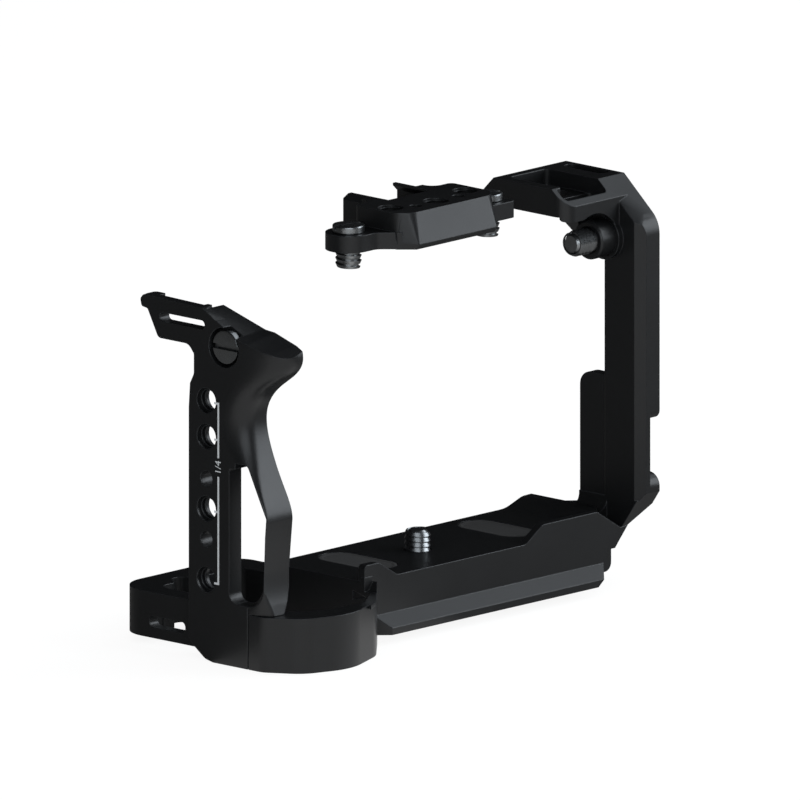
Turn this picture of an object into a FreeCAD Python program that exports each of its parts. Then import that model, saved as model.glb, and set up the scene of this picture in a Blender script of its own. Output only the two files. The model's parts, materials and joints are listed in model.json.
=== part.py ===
import FreeCAD, Part
import math
import os

# Camera cage: a frame with a ring at the grip side, a grip plate bolted to the ring,
# a separate top plate, rubber seat pads and captive camera screws.
# Millimetres, Z up. The origin is on the axis of the base screw, at the seat face.
# X runs from the grip side to the post, and Y runs from the lens side to the rear.

V = FreeCAD.Vector

# Standard camera screw, one quarter inch, and the clearances around it
SCREW_R = 3.175
RUNNING_CLEARANCE = 0.06
CLIP_CLEARANCE = 0.1
CLIP_THICK = 0.6
CLIP_R = 4.2
CLIP_POCKET_R = 4.5
THREAD_EDGE = 0.7
SLOT_WIDTH = 1.3
SLOT_DEPTH = 1.1

# Base block and seat
SEAT_LEFT = -35.9
SEAT_FLAT_END = 46.5
BASE_FRONT = -15.9
BASE_BACK = 15.64
BASE_UNDER = -9.1
BLOCK_UNDER = -11.4
BLOCK_RIGHT = 52.1
BLOCK_CORNER_R = 2.2
LIP_TOP = 4.0
LIP_THICK = 2.1

# Dovetail rail under the base
RAIL_HALF = 19.0
RAIL_SLOPE_END = -12.15
RAIL_BOTTOM = -13.9
RAIL_LEFT = -32.3
RAIL_RIGHT = 49.4
RAIL_CORNER = 3.1

# Shoulder and flare between the seat and the post
SHOULDER_TOP = 2.2
SHOULDER_RIDGE = 56.9
VALLEY_Z = 0.3
FLARE_UNDER = -6.0
FLARE_TURN = 61.3
FLARE_TOP_Z = 2.2
STUB_TOP = 3.9
SCOOP_TOP = 5.7
SCOOP_SLOPE = 0.70
BACK_CORNER_X = 57.5

# Post
POST_IN = 62.56
POST_WALL_OUT = 66.05
POST_OUT = 69.4
POST_REAR = -3.25
POST_EDGE = 2.1
TAB_REAR = 4.66
TAB_TOP = 33.9
TAB_RECESS = 0.35
TAB_CORNER_R = 3.5
WINDOW_TOP = 23.9
WINDOW_BOTTOM = 10.1

# Arm over the post
ARM_TOP = 83.4
ARM_UNDER = 76.6
ARM_LEFT = 43.5
ARM_SLOPE_FOOT = 73.0
ARM_SLOPE_HEAD = -4.0
ARM_SLOPE_R = 7.0
ARM_BACK = 18.6
ARM_BACK_EDGE = 3.2
ARM_BACK_RIGHT_R = 3.0
ARM_FRONT_WALL = -8.75
ARM_FRONT_RIM = -7.2
ARM_BAR_RIGHT = 46.4
ARM_OPEN_RIGHT = 60.0
ARM_OPEN_BACK = 13.0
ARM_WEB_TOP = 79.4
ARM_WEB_FRONT = -1.0
ARM_WELL_R = 5.2
ARM_WELL_XY = (52.5, 5.8)
ARM_SLOT_X = (64.5, 68.4)
ARM_SLOT_Y = (-1.0, 12.5)
SKIRT_UNDER = 75.3
SKIRT_THICK = 2.4
SKIRT_FOOT = 69.0
SKIRT_ARCH_X = 54.0
SKIRT_ARCH_Z = 67.5
SKIRT_ARCH_R = 8.8
HAUNCH_TIP = 52.3
HAUNCH_FOOT = 66.4
CHEEK_FOOT = 73.0
CHEEK_RIGHT = 65.8
CHEEK_DEPTH = 1.7

# Side screw in the post
POST_SCREW_Y = -4.6
POST_SCREW_Z = 68.75
POST_SCREW_TIP = 49.8
POST_BOSS_FACE = 61.0
BOSS_R = 5.55
POST_HEAD_R = 4.0
POST_HEAD_THICK = 2.4

# Ring at the grip side
RIM_TOP = -2.5
RING_BOTTOM = -13.9
RING_FRONT_BOTTOM = -16.2
RING_LEFT = -71.5
RING_BACK = 34.3
RING_RIGHT = -28.0
RING_IN_LEFT = -65.5
RING_IN_BACK = 25.2
RING_REAR_R = 8.9
STRAP_SLOT_Y = (10.6, 22.6)
STRAP_SLOT_Z = (-11.2, -8.4)
STRAP_WALL = 3.1
STRAP_POCKET_Y = (8.6, 24.6)
STRAP_POCKET_TOP = -4.3

# Grip side plate
PLATE_OUT = -74.0
PLATE_IN = -69.65
PLATE_REAR = 7.1
PLATE_BOTTOM = -16.2
PLATE_SEAM_Y = -12.7
PLATE_TOP = 72.45
GUARD_IN = -64.7
GUARD_DEPTH = 4.4
PLATE_WINDOW_BOTTOM = -0.5
PLATE_WINDOW_TOP = 34.6
STRAP_TAB_THICK = 3.4
STRAP_HOOK_IN = -68.7
STRAP_HOOK_TOP = 72.1
STRAP_HOOK_Y = (19.6, 23.1)
STRAP_HOOK_UNDER = 69.2
HOLE_Y = 1.2
BIG_HOLES_Z = (48.9, 39.9, 21.9, 4.2)
SMALL_HOLES_Z = (29.4, 14.3)
SMALL_HOLE_R = 2.0
PLATE_WINDOW_REAR = -6.4
SIDE_SCREW_Y = -4.6
SIDE_SCREW_Z = 63.0
SIDE_HEAD_R = 4.2
SIDE_HEAD_THICK = 2.2
COUNTERBORE_R = 5.0
COUNTERBORE_DEPTH = 2.6
SIDE_SCREW_TIP = -60.5

# Top plate
TOP_FACE = 88.0
TOP_HALF = 17.3
TOP_FRONT = -11.6
TOP_FOOT_FRONT = -13.6
TOP_FOOT_Z = 80.3
TOP_UNDER = 79.0
TOP_SHOULDER_Y = 5.0
PRONG_HALF = 10.8
PRONG_REAR = 15.2
SHOE_LIP_HALF = 7.4
SHOE_WALL_HALF = 8.9
SHOE_LIP_Z = 86.0
SHOE_FLOOR = 83.6
SHOE_FRONT = 2.8
EAR_X = 24.6
EAR_TOP = 83.3
EAR_UNDER = 79.1
EAR_R = 5.7
EAR_CORNER_R = 1.2
EAR_RIGHT_END = 29.0
TOP_FACE_HALF = 13.9
TOP_CHEEK_Y = -9.2
TOP_CHEEK_TOP_Y = -8.2
PRONG_BEVEL_Y = 8.5
TOP_HEAD_R = 3.95
TOP_HEAD_THICK = 1.9
TOP_SCREW_TIP = 74.4

# Seat pads
PAD_HALF_WIDTH = 5.4
PAD_HALF_LENGTH = 11.25
PAD_X = (-19.4, 30.4)
PAD_Y = 1.7
PAD_DEPTH = 1.2
PAD_RECESS = 0.1
PAD_CLEARANCE = 0.08

# Base screw
BASE_SCREW_TIP = 5.0
BASE_SHANK_R = 2.6
BASE_MOUTH_GAP = 0.3
BASE_MOUTH_DEPTH = 1.0
BASE_HEAD_R = 7.0
BASE_HEAD_Z = (-9.2, -5.0)
BASE_RECESS_R = 7.6
BASE_RING_Z = (-10.4, -9.4)
BASE_RING_OUT = 8.2
BASE_RING_IN = 6.2
CLIP_MOUTH = 3.4
CLIP_BORE_R = 2.6
HEAD_EDGE = 0.35
TAP_CLEARANCE = 0.02
POST_HEAD_SEAT = 66.2
PLATE_SOCKET_R = 1.0
TOP_HOLES = ((0, -6.2, 3.175), (-13.3, -3.5, 3.175), (13.3, -3.5, 3.175),
             (-7.6, -6.6, 1.6), (7.6, -6.6, 1.6))

# Fasteners between the ring and the grip plate
PLATE_SCREW_R = 1.5
PLATE_SCREW_HEAD_R = 2.8
PLATE_SCREW_YZ = ((-8.2, -8.0), (2.2, -8.0))
DOWEL_R = 1.25
DOWEL_YZ = ((-3.0, -10.6), (-3.0, -5.6))


def place(a, b, axis, level):
    """Point with in-plane coordinates a and b, on the plane across an axis."""
    if axis == "x":
        return V(level, a, b)
    if axis == "y":
        return V(a, level, b)
    return V(a, b, level)


def loop(points, axis, level):
    """Closed wire through points (a, b, radius), each corner rounded by its own radius."""
    corners = []
    count = len(points)
    for i in range(count):
        here = V(points[i][0], points[i][1], 0)
        radius = points[i][2] if len(points[i]) > 2 else 0
        if not radius:
            corners.append((here, None, here))
            continue
        before = points[i - 1]
        after = points[(i + 1) % count]
        back = (V(before[0], before[1], 0) - here).normalize()
        on = (V(after[0], after[1], 0) - here).normalize()
        half = back.getAngle(on) / 2
        reach = radius / math.tan(half)
        middle = (back + on).normalize() * (radius / math.sin(half) - radius)
        corners.append((here + back * reach, here + middle, here + on * reach))
    edges = []
    for i in range(count):
        start, middle, end = [None if p is None else place(p.x, p.y, axis, level)
                              for p in corners[i]]
        if middle is not None:
            edges.append(Part.Arc(start, middle, end).toShape())
        nxt = corners[(i + 1) % count][0]
        following = place(nxt.x, nxt.y, axis, level)
        if (following - end).Length > 0.001:
            edges.append(Part.makeLine(end, following))
    return Part.Wire(edges)


def slab(points, axis, low, high):
    """Prism between two levels along an axis, over a rounded outline."""
    face = Part.Face(loop(points, axis, low))
    return face.extrude(place(0, 0, axis, high - low))


def box(x, y, z):
    """Box between pairs of limits."""
    return Part.makeBox(x[1] - x[0], y[1] - y[0], z[1] - z[0], V(x[0], y[0], z[0]))


def rod(radius, axis, centre, low, high):
    """Cylinder between two levels along an axis."""
    direction = place(0, 0, axis, 1)
    start = place(centre[0], centre[1], axis, low)
    return Part.makeCylinder(radius, high - low, start, direction)


def taper(r1, r2, axis, centre, low, high):
    """Cone between two levels along an axis."""
    direction = place(0, 0, axis, 1)
    start = place(centre[0], centre[1], axis, low)
    return Part.makeCone(r1, r2, high - low, start, direction)


def joined(shapes):
    """One solid from overlapping shapes."""
    return shapes[0].multiFuse(shapes[1:]).removeSplitter()


def obround(half_width, half_length, centre, low, high):
    """Slot-shaped prism along Z, with its length along Y."""
    x, y = centre
    outline = [(x - half_width, y - half_length, half_width * 0.999),
               (x + half_width, y - half_length, half_width * 0.999),
               (x + half_width, y + half_length, half_width * 0.999),
               (x - half_width, y + half_length, half_width * 0.999)]
    return slab(outline, "z", low, high)


def base_body():
    """Seat block, dovetail rail, front lips, shoulder and flare."""
    block = slab([(SEAT_LEFT, 0), (SEAT_LEFT, BASE_UNDER), (RAIL_LEFT, BASE_UNDER),
                  (RAIL_LEFT, BLOCK_UNDER), (BLOCK_RIGHT, BLOCK_UNDER, BLOCK_CORNER_R),
                  (BLOCK_RIGHT, FLARE_UNDER), (FLARE_TURN, FLARE_UNDER),
                  (POST_OUT, FLARE_TOP_Z), (POST_OUT, STUB_TOP), (POST_IN, STUB_TOP), (POST_IN, VALLEY_Z, 3.0),
                  (SHOULDER_RIDGE + 2.2, VALLEY_Z, 0.4),
                  (SHOULDER_RIDGE + 0.6, SHOULDER_TOP, 0.8),
                  (SHOULDER_RIDGE - 3.0, SHOULDER_TOP - 0.1, 6.0),
                  (SEAT_FLAT_END + 1.4, 0, 10.0)],
                 "y", BASE_FRONT, BASE_BACK)
    rail = slab([(-RAIL_HALF + 3.05, BASE_UNDER), (-RAIL_HALF, RAIL_SLOPE_END),
                 (-RAIL_HALF, RAIL_BOTTOM), (RAIL_HALF, RAIL_BOTTOM),
                 (RAIL_HALF, RAIL_SLOPE_END), (RAIL_HALF - 3.05, BASE_UNDER)],
                "x", RAIL_LEFT, RAIL_RIGHT)
    plan = slab([(RAIL_LEFT, -RAIL_HALF + RAIL_CORNER), (RAIL_LEFT + RAIL_CORNER, -RAIL_HALF),
                 (RAIL_RIGHT - RAIL_CORNER, -RAIL_HALF),
                 (RAIL_RIGHT, -RAIL_HALF + RAIL_CORNER),
                 (RAIL_RIGHT, RAIL_HALF - RAIL_CORNER),
                 (RAIL_RIGHT - RAIL_CORNER, RAIL_HALF),
                 (RAIL_LEFT + RAIL_CORNER, RAIL_HALF),
                 (RAIL_LEFT, RAIL_HALF - RAIL_CORNER)],
                "z", RAIL_BOTTOM, BASE_UNDER)
    tail = slab([(RAIL_RIGHT - 5.1, RAIL_BOTTOM - 0.01), (RAIL_RIGHT - 2.8, RAIL_SLOPE_END + 0.1),
                 (RAIL_RIGHT + 1, RAIL_SLOPE_END + 0.1), (RAIL_RIGHT + 1, RAIL_BOTTOM - 0.01)],
                "y", -RAIL_HALF - 1, RAIL_HALF + 1)
    rail = rail.common(plan).cut(tail)
    left_lip = slab([(-35.8, -1), (-35.8, LIP_TOP, 1.0), (-30.7, LIP_TOP, 2.5),
                     (-24.1, 0, 2.5), (-20.0, 0), (-20.0, -1)],
                    "y", BASE_FRONT, BASE_FRONT + LIP_THICK)
    right_lip = slab([(17.0, -1), (17.0, 0), (21.6, 0, 2.5), (27.7, LIP_TOP, 2.5),
                      (48.6, LIP_TOP, 3.0), (55.7, -0.9), (55.7, -1)],
                     "y", BASE_FRONT, BASE_FRONT + LIP_THICK)
    return joined([block, rail, left_lip, right_lip])


def post_body():
    """Upright with its chamfered inner edge, side tab and outer slab."""
    upright = slab([(POST_IN, BASE_FRONT + POST_EDGE), (POST_IN + POST_EDGE, BASE_FRONT),
                    (POST_WALL_OUT, BASE_FRONT), (POST_WALL_OUT, POST_REAR),
                    (POST_IN, POST_REAR, 1.1)],
                   "z", VALLEY_Z, ARM_TOP - 1)
    tab = slab([(POST_REAR - 1, 0), (TAB_REAR + 3.0, 0), (TAB_REAR + 3.0, 0.4),
                (TAB_REAR, 0.4, 2.6), (TAB_REAR, TAB_TOP, TAB_CORNER_R),
                (POST_REAR - 1, TAB_TOP)],
               "x", POST_IN + TAB_RECESS, POST_WALL_OUT)
    slab_up = slab([(BASE_FRONT, ARM_TOP - 1), (BASE_FRONT, WINDOW_TOP, 2.0),
                    (POST_REAR, WINDOW_TOP, 2.0), (POST_REAR, ARM_TOP - 1)],
                   "x", POST_WALL_OUT - 0.5, POST_OUT)
    slab_low = slab([(BASE_FRONT, FLARE_TOP_Z + 1), (BASE_FRONT, WINDOW_BOTTOM, 3.3),
                     (TAB_REAR, WINDOW_BOTTOM, 3.3), (TAB_REAR, FLARE_TOP_Z + 1)],
                    "x", POST_WALL_OUT - 0.5, POST_OUT)
    return joined([upright, tab, slab_up, slab_low])


def scoop():
    """Wedge that takes the front of the flare back below the post."""
    depth = SCOOP_SLOPE * (SCOOP_TOP + 12)
    wedge = slab([(BASE_FRONT - 2, SCOOP_TOP + 2 / SCOOP_SLOPE),
                  (BASE_FRONT + depth, -12), (BASE_FRONT - 2, -12)], "x", 48.0, 72.0)
    keep = slab([(40, 20), (40, -13), (53.6, -13), (53.6, -5.9), (55.0, -4.3), (58.2, -0.8), (55.7, -0.9),
                 (48.6, LIP_TOP), (48.6, 20)], "y", BASE_FRONT - 3, BASE_FRONT + 20)
    return wedge.cut(keep)


def slope_wedge(foot_y, foot_z, x_low, x_high, reach):
    """Space above the arm's front slope, for trimming what stands through it."""
    run = (ARM_SLOPE_HEAD - BASE_FRONT) / (ARM_TOP - ARM_SLOPE_FOOT)
    return slab([(foot_y - reach * run, foot_z - reach), (foot_y + reach * run, foot_z + reach),
                 (foot_y - 2 * reach * run, foot_z + reach)], "x", x_low, x_high)


def slope_rounding():
    """Sliver between the sharp and the rounded foot of the arm's front slope."""
    slabs = []
    for radius in (0, ARM_SLOPE_R):
        slabs.append(slab([(BASE_FRONT, ARM_SLOPE_FOOT - 2 * ARM_SLOPE_R),
                           (BASE_FRONT, ARM_SLOPE_FOOT, radius), (ARM_SLOPE_HEAD, ARM_TOP),
                           (ARM_SLOPE_HEAD, ARM_SLOPE_FOOT - 2 * ARM_SLOPE_R)],
                          "x", POST_IN - 1, POST_OUT + 1))
    return slabs[0].cut(slabs[1])


def arm_body():
    """Top arm with the sloped front, the openings and the inside-corner haunch."""
    rise = ARM_TOP - ARM_SLOPE_FOOT
    section = slab([(BASE_FRONT, ARM_SLOPE_FOOT), (ARM_SLOPE_HEAD, ARM_TOP),
                    (ARM_BACK - ARM_BACK_EDGE, ARM_TOP), (ARM_BACK, ARM_TOP - ARM_BACK_EDGE),
                    (ARM_BACK, ARM_UNDER), (BASE_FRONT, ARM_UNDER - rise)],
                   "x", ARM_LEFT, POST_OUT)
    plan = slab([(ARM_LEFT, BASE_FRONT - 1), (POST_OUT, BASE_FRONT - 1),
                 (POST_OUT, ARM_BACK, ARM_BACK_RIGHT_R), (ARM_LEFT, ARM_BACK)], "z", 50, 90)
    under = box((ARM_LEFT - 1, POST_IN), (BASE_FRONT - 1, ARM_BACK + 1), (40, ARM_UNDER))
    outside = box((POST_IN - 1, POST_OUT + 1), (POST_REAR, ARM_BACK + 1), (40, ARM_UNDER))
    front = box((ARM_LEFT - 1, POST_IN), (BASE_FRONT - 1, ARM_FRONT_WALL), (40, ARM_TOP))
    arm = section.common(plan).cut(under).cut(outside).cut(front)
    skirt = slab([(ARM_LEFT, ARM_UNDER + 1), (ARM_LEFT, SKIRT_UNDER, 2.0), (SKIRT_ARCH_X, SKIRT_UNDER),
                  (SKIRT_ARCH_X, SKIRT_FOOT), (POST_IN + 0.5, SKIRT_FOOT),
                  (POST_IN + 0.5, ARM_UNDER + 1)],
                 "y", ARM_FRONT_WALL, ARM_FRONT_WALL + SKIRT_THICK)
    skirt = skirt.cut(rod(SKIRT_ARCH_R, "y", (SKIRT_ARCH_X, SKIRT_ARCH_Z), -20, 20))
    haunch = slab([(POST_IN + 0.5, HAUNCH_FOOT), (POST_IN + 0.5, ARM_UNDER + 0.5),
                   (HAUNCH_TIP, ARM_UNDER + 0.5), (HAUNCH_TIP, ARM_UNDER)],
                  "y", ARM_FRONT_WALL + SKIRT_THICK - 0.5, TAB_REAR)
    haunch = haunch.cut(rod(BOSS_R, "x", (POST_SCREW_Y, POST_SCREW_Z), 40, POST_BOSS_FACE))
    arm = joined([arm, skirt, haunch])
    pocket = slab([(ARM_BAR_RIGHT, ARM_FRONT_RIM, 1.5), (ARM_OPEN_RIGHT, ARM_FRONT_RIM, 1.0),
                   (ARM_OPEN_RIGHT, ARM_OPEN_BACK, 1.5), (ARM_BAR_RIGHT, ARM_OPEN_BACK, 1.5)],
                  "z", ARM_WEB_TOP, ARM_TOP + 1)
    notch = slab([(ARM_BAR_RIGHT, ARM_FRONT_RIM, 1.0), (ARM_OPEN_RIGHT, ARM_FRONT_RIM, 1.0),
                  (ARM_OPEN_RIGHT, ARM_WEB_FRONT, 1.0), (ARM_BAR_RIGHT, ARM_WEB_FRONT, 1.0)],
                 "z", 70, ARM_TOP + 1)
    well = rod(ARM_WELL_R, "z", ARM_WELL_XY, 70, ARM_TOP + 1)
    slot = slab([(ARM_SLOT_X[0], ARM_SLOT_Y[0], 1.9), (ARM_SLOT_X[1], ARM_SLOT_Y[0], 1.9),
                 (ARM_SLOT_X[1], ARM_SLOT_Y[1], 1.9), (ARM_SLOT_X[0], ARM_SLOT_Y[1], 1.9)],
                "z", 70, ARM_TOP + 1)
    return arm.cut(pocket).cut(notch).cut(well).cut(slot)


def cheek_facet():
    """Shallow wedge off the inner corner of the arm's front slope."""
    wires = []
    for x, depth in ((CHEEK_RIGHT, 0.0), (POST_IN - 1, CHEEK_DEPTH)):
        foot = ARM_SLOPE_FOOT - depth
        rise = ARM_TOP - ARM_SLOPE_FOOT
        run = ARM_SLOPE_HEAD - BASE_FRONT
        wires.append(loop([(BASE_FRONT, foot), (BASE_FRONT + run, foot + rise),
                           (BASE_FRONT, foot + rise)], "x", x))
    wedge = Part.makeLoft(wires, True, True)
    return wedge.common(box((POST_IN - 1, CHEEK_RIGHT), (-30, ARM_FRONT_WALL), (CHEEK_FOOT, 90)))


def ring_body():
    """Ring at the grip side, open in the middle for a battery or a hand strap."""
    outer = slab([(RING_LEFT, PLATE_SEAM_Y), (RING_LEFT, RING_BACK, RING_REAR_R),
                  (RING_RIGHT, RING_BACK, 6.0), (RING_RIGHT, BASE_FRONT + 1),
                  (SEAT_LEFT + 1, BASE_FRONT + 1), (SEAT_LEFT + 1, PLATE_SEAM_Y)],
                 "z", RING_BOTTOM, RIM_TOP)
    front = slab([(PLATE_OUT, PLATE_SEAM_Y), (PLATE_OUT, -17.5, 5.0), (-68.6, -26.2, 9.0),
                  (-56.0, -30.6, 15.0), (-41.4, -25.0, 12.0), (-31.3, BASE_FRONT),
                  (-31.3, PLATE_SEAM_Y)],
                 "z", RING_FRONT_BOTTOM, RIM_TOP)
    inner = slab([(RING_IN_LEFT, -16.0, 5.0), (-60.0, -20.6, 8.0), (-50.5, -20.2, 8.0),
                  (-43.3, -18.4, 6.0), (-35.9, -12.2, 4.0), (-35.9, RING_IN_BACK, 2.0),
                  (-52.0, RING_IN_BACK, 2.0), (-54.0, 29.0, 2.0), (-57.0, 29.0, 2.0),
                  (-59.5, RING_IN_BACK, 2.0), (RING_IN_LEFT, RING_IN_BACK, 3.0)],
                 "z", -20, 5)
    rise = slab([(-46.0, RIM_TOP - 1), (-46.0, RIM_TOP), (-39.0, RIM_TOP, 4.0), (-36.2, 1.0, 0.6),
                 (SEAT_LEFT + 3, 1.0), (SEAT_LEFT + 3, RIM_TOP - 1)], "y", -29.0, BASE_FRONT + 2)
    wall = slab([(-46.0, -27.6), (-41.4, -25.0, 12.0), (-31.3, BASE_FRONT), (-31.3, -12.7),
                 (-33.5, -12.7), (-43.3, -21.0)], "z", RIM_TOP - 1, 2.0)
    return outer, front, inner, rise.common(wall)


def frame_holes(frame):
    """Pockets for the pads, the captive screws and the plate's fasteners."""
    for x in PAD_X:
        frame = frame.cut(obround(PAD_HALF_WIDTH + PAD_CLEARANCE, PAD_HALF_LENGTH + PAD_CLEARANCE,
                                  (x, PAD_Y), -PAD_DEPTH, 3))
    frame = frame.cut(rod(BASE_SHANK_R + RUNNING_CLEARANCE, "z", (0, 0), -20, 3))
    frame = frame.cut(rod(SCREW_R + BASE_MOUTH_GAP, "z", (0, 0), -BASE_MOUTH_DEPTH, 3))
    frame = frame.cut(rod(BASE_RECESS_R, "z", (0, 0), -20, BASE_HEAD_Z[1]))
    frame = frame.cut(rod(BASE_RING_OUT + 0.02, "z", (0, 0), *BASE_RING_Z))
    centre = (POST_SCREW_Y, POST_SCREW_Z)
    frame = frame.cut(rod(SCREW_R + RUNNING_CLEARANCE, "x", centre, 55, 75))
    frame = frame.cut(rod(POST_HEAD_R + 0.3, "x", centre, POST_HEAD_SEAT, 75))
    for y, z in PLATE_SCREW_YZ:
        frame = frame.cut(rod(PLATE_SCREW_R + TAP_CLEARANCE, "x", (y, z), PLATE_IN - 1, RING_IN_LEFT + 1))
        sink = PLATE_SCREW_HEAD_R - PLATE_SCREW_R
        frame = frame.cut(taper(PLATE_SCREW_R, PLATE_SCREW_HEAD_R, "x", (y, z),
                                RING_IN_LEFT - 0.4 - sink, RING_IN_LEFT - 0.4))
        frame = frame.cut(rod(PLATE_SCREW_HEAD_R, "x", (y, z), RING_IN_LEFT - 0.4, RING_IN_LEFT + 1))
    for y, z in DOWEL_YZ:
        frame = frame.cut(rod(DOWEL_R + TAP_CLEARANCE, "x", (y, z), PLATE_IN - 1, PLATE_IN + 2))
    return frame


def build_frame():
    outer, front, inner, rise = ring_body()
    base = joined([base_body(), outer, front, rise]).cut(inner)
    pocket = box((RING_LEFT - 5, PLATE_IN), (PLATE_SEAM_Y, PLATE_REAR + 0.1), (-20, 5))
    base = base.cut(pocket)
    corner = slab([(POST_OUT + 1, TAB_REAR - 1.0), (POST_OUT + 1, BASE_BACK + 1),
                   (BACK_CORNER_X - 1.1, BASE_BACK + 1)], "z", -20, 20)
    behind_tab = box((POST_IN - 1.2, POST_OUT + 1), (TAB_REAR, BASE_BACK + 1), (VALLEY_Z, 40))
    base = base.cut(corner).cut(behind_tab)
    strap = slab([(STRAP_SLOT_Y[0], STRAP_SLOT_Z[0], 1.3), (STRAP_SLOT_Y[1], STRAP_SLOT_Z[0], 1.3),
                  (STRAP_SLOT_Y[1], STRAP_SLOT_Z[1], 1.3), (STRAP_SLOT_Y[0], STRAP_SLOT_Z[1], 1.3)],
                 "x", RING_LEFT - 1, RING_IN_LEFT + 1)
    strap = strap.fuse(box((RING_LEFT + STRAP_WALL, RING_IN_LEFT + 1), STRAP_POCKET_Y,
                           (RING_BOTTOM - 1, STRAP_POCKET_TOP)))
    post = post_body().cut(slope_wedge(BASE_FRONT, ARM_SLOPE_FOOT, POST_IN - 1, POST_OUT + 1, 20))
    boss = rod(BOSS_R, "x", (POST_SCREW_Y, POST_SCREW_Z), POST_BOSS_FACE, POST_WALL_OUT)
    boss = boss.common(box((POST_BOSS_FACE, POST_WALL_OUT), (-20, POST_REAR + 4.5), (60, 76)))
    frame = joined([base, post, arm_body(), boss]).cut(scoop())
    return frame_holes(frame.cut(strap).cut(cheek_facet()).cut(slope_rounding()))


def guard_section(z, start, side, front, corner_x):
    """Closed outline of the finger guard at one height, from the outer face to its front."""
    low = V(PLATE_OUT, -2.0, z)
    first = V(PLATE_OUT, start, z)
    control = V(PLATE_OUT + 0.15 * (corner_x - PLATE_OUT), front, z)
    last = V(corner_x, front, z)
    inner = V(side, front, z)
    far = V(side, -2.0, z)
    curve = Part.BezierCurve()
    curve.setPoles([first, control, last])
    return Part.Wire([Part.makeLine(low, first), curve.toShape(), Part.makeLine(last, inner),
                      Part.makeLine(inner, far), Part.makeLine(far, low)])


def guard_body():
    """Finger guard: strut beside the window, neck and horn, as smooth lofts."""
    lower = [(-2.4, -12.9, -68.0, -19.2, -71.0), (0.6, -15.6, -66.2, -18.6, -72.0),
             (4.0, -17.2, GUARD_IN, -17.7, -73.5), (8.2, -17.5, GUARD_IN, -17.7, -73.6),
             (15.7, -18.2, GUARD_IN, -18.4, -73.6), (20.9, -18.7, GUARD_IN, -18.9, -73.6)]
    upper = [(20.9, -18.7, GUARD_IN, -18.9, -73.6), (23.4, -18.0, GUARD_IN, -18.5, -73.2),
             (28.3, -15.2, GUARD_IN, -16.2, -72.2), (33.0, -10.6, GUARD_IN, -13.8, -70.6),
             (37.0, -6.6, GUARD_IN, -12.1, -69.2), (42.4, -3.6, GUARD_IN, -10.5, -68.2),
             (47.0, -3.9, GUARD_IN, -10.5, -68.0), (50.0, -5.4, GUARD_IN, -11.8, -67.6),
             (53.5, -7.4, GUARD_IN, -15.1, -67.0), (57.3, -8.9, GUARD_IN, -20.15, -66.2),
             (61.3, -9.8, GUARD_IN, -22.45, -65.9), (66.0, -9.0, GUARD_IN, -20.6, -66.4),
             (72.0, -6.0, GUARD_IN, -17.6, -67.0)]
    bottom = Part.makeLoft([guard_section(*level) for level in lower], True, True)
    top = Part.makeLoft([guard_section(*level) for level in upper], True, False)
    return [bottom, top]


def horn_top():
    """Cutter over the horn, a twisted surface between the outer and the inner face."""
    near = [(1.6, 71.5), (-8.5, 65.7), (-12.0, 64.6), (-17.0, 62.6), (-26.0, 58.0),
            (-30.0, 85.0), (1.6, 85.0)]
    far = [(5.4, 71.2), (-10.0, 66.9), (-13.0, 66.7), (-20.5, 64.4), (-26.0, 61.5),
           (-30.0, 85.0), (5.4, 85.0)]
    wires = [loop(near, "x", PLATE_OUT - 0.5), loop(far, "x", GUARD_IN + 0.5)]
    return Part.makeLoft(wires, True, True)


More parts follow.
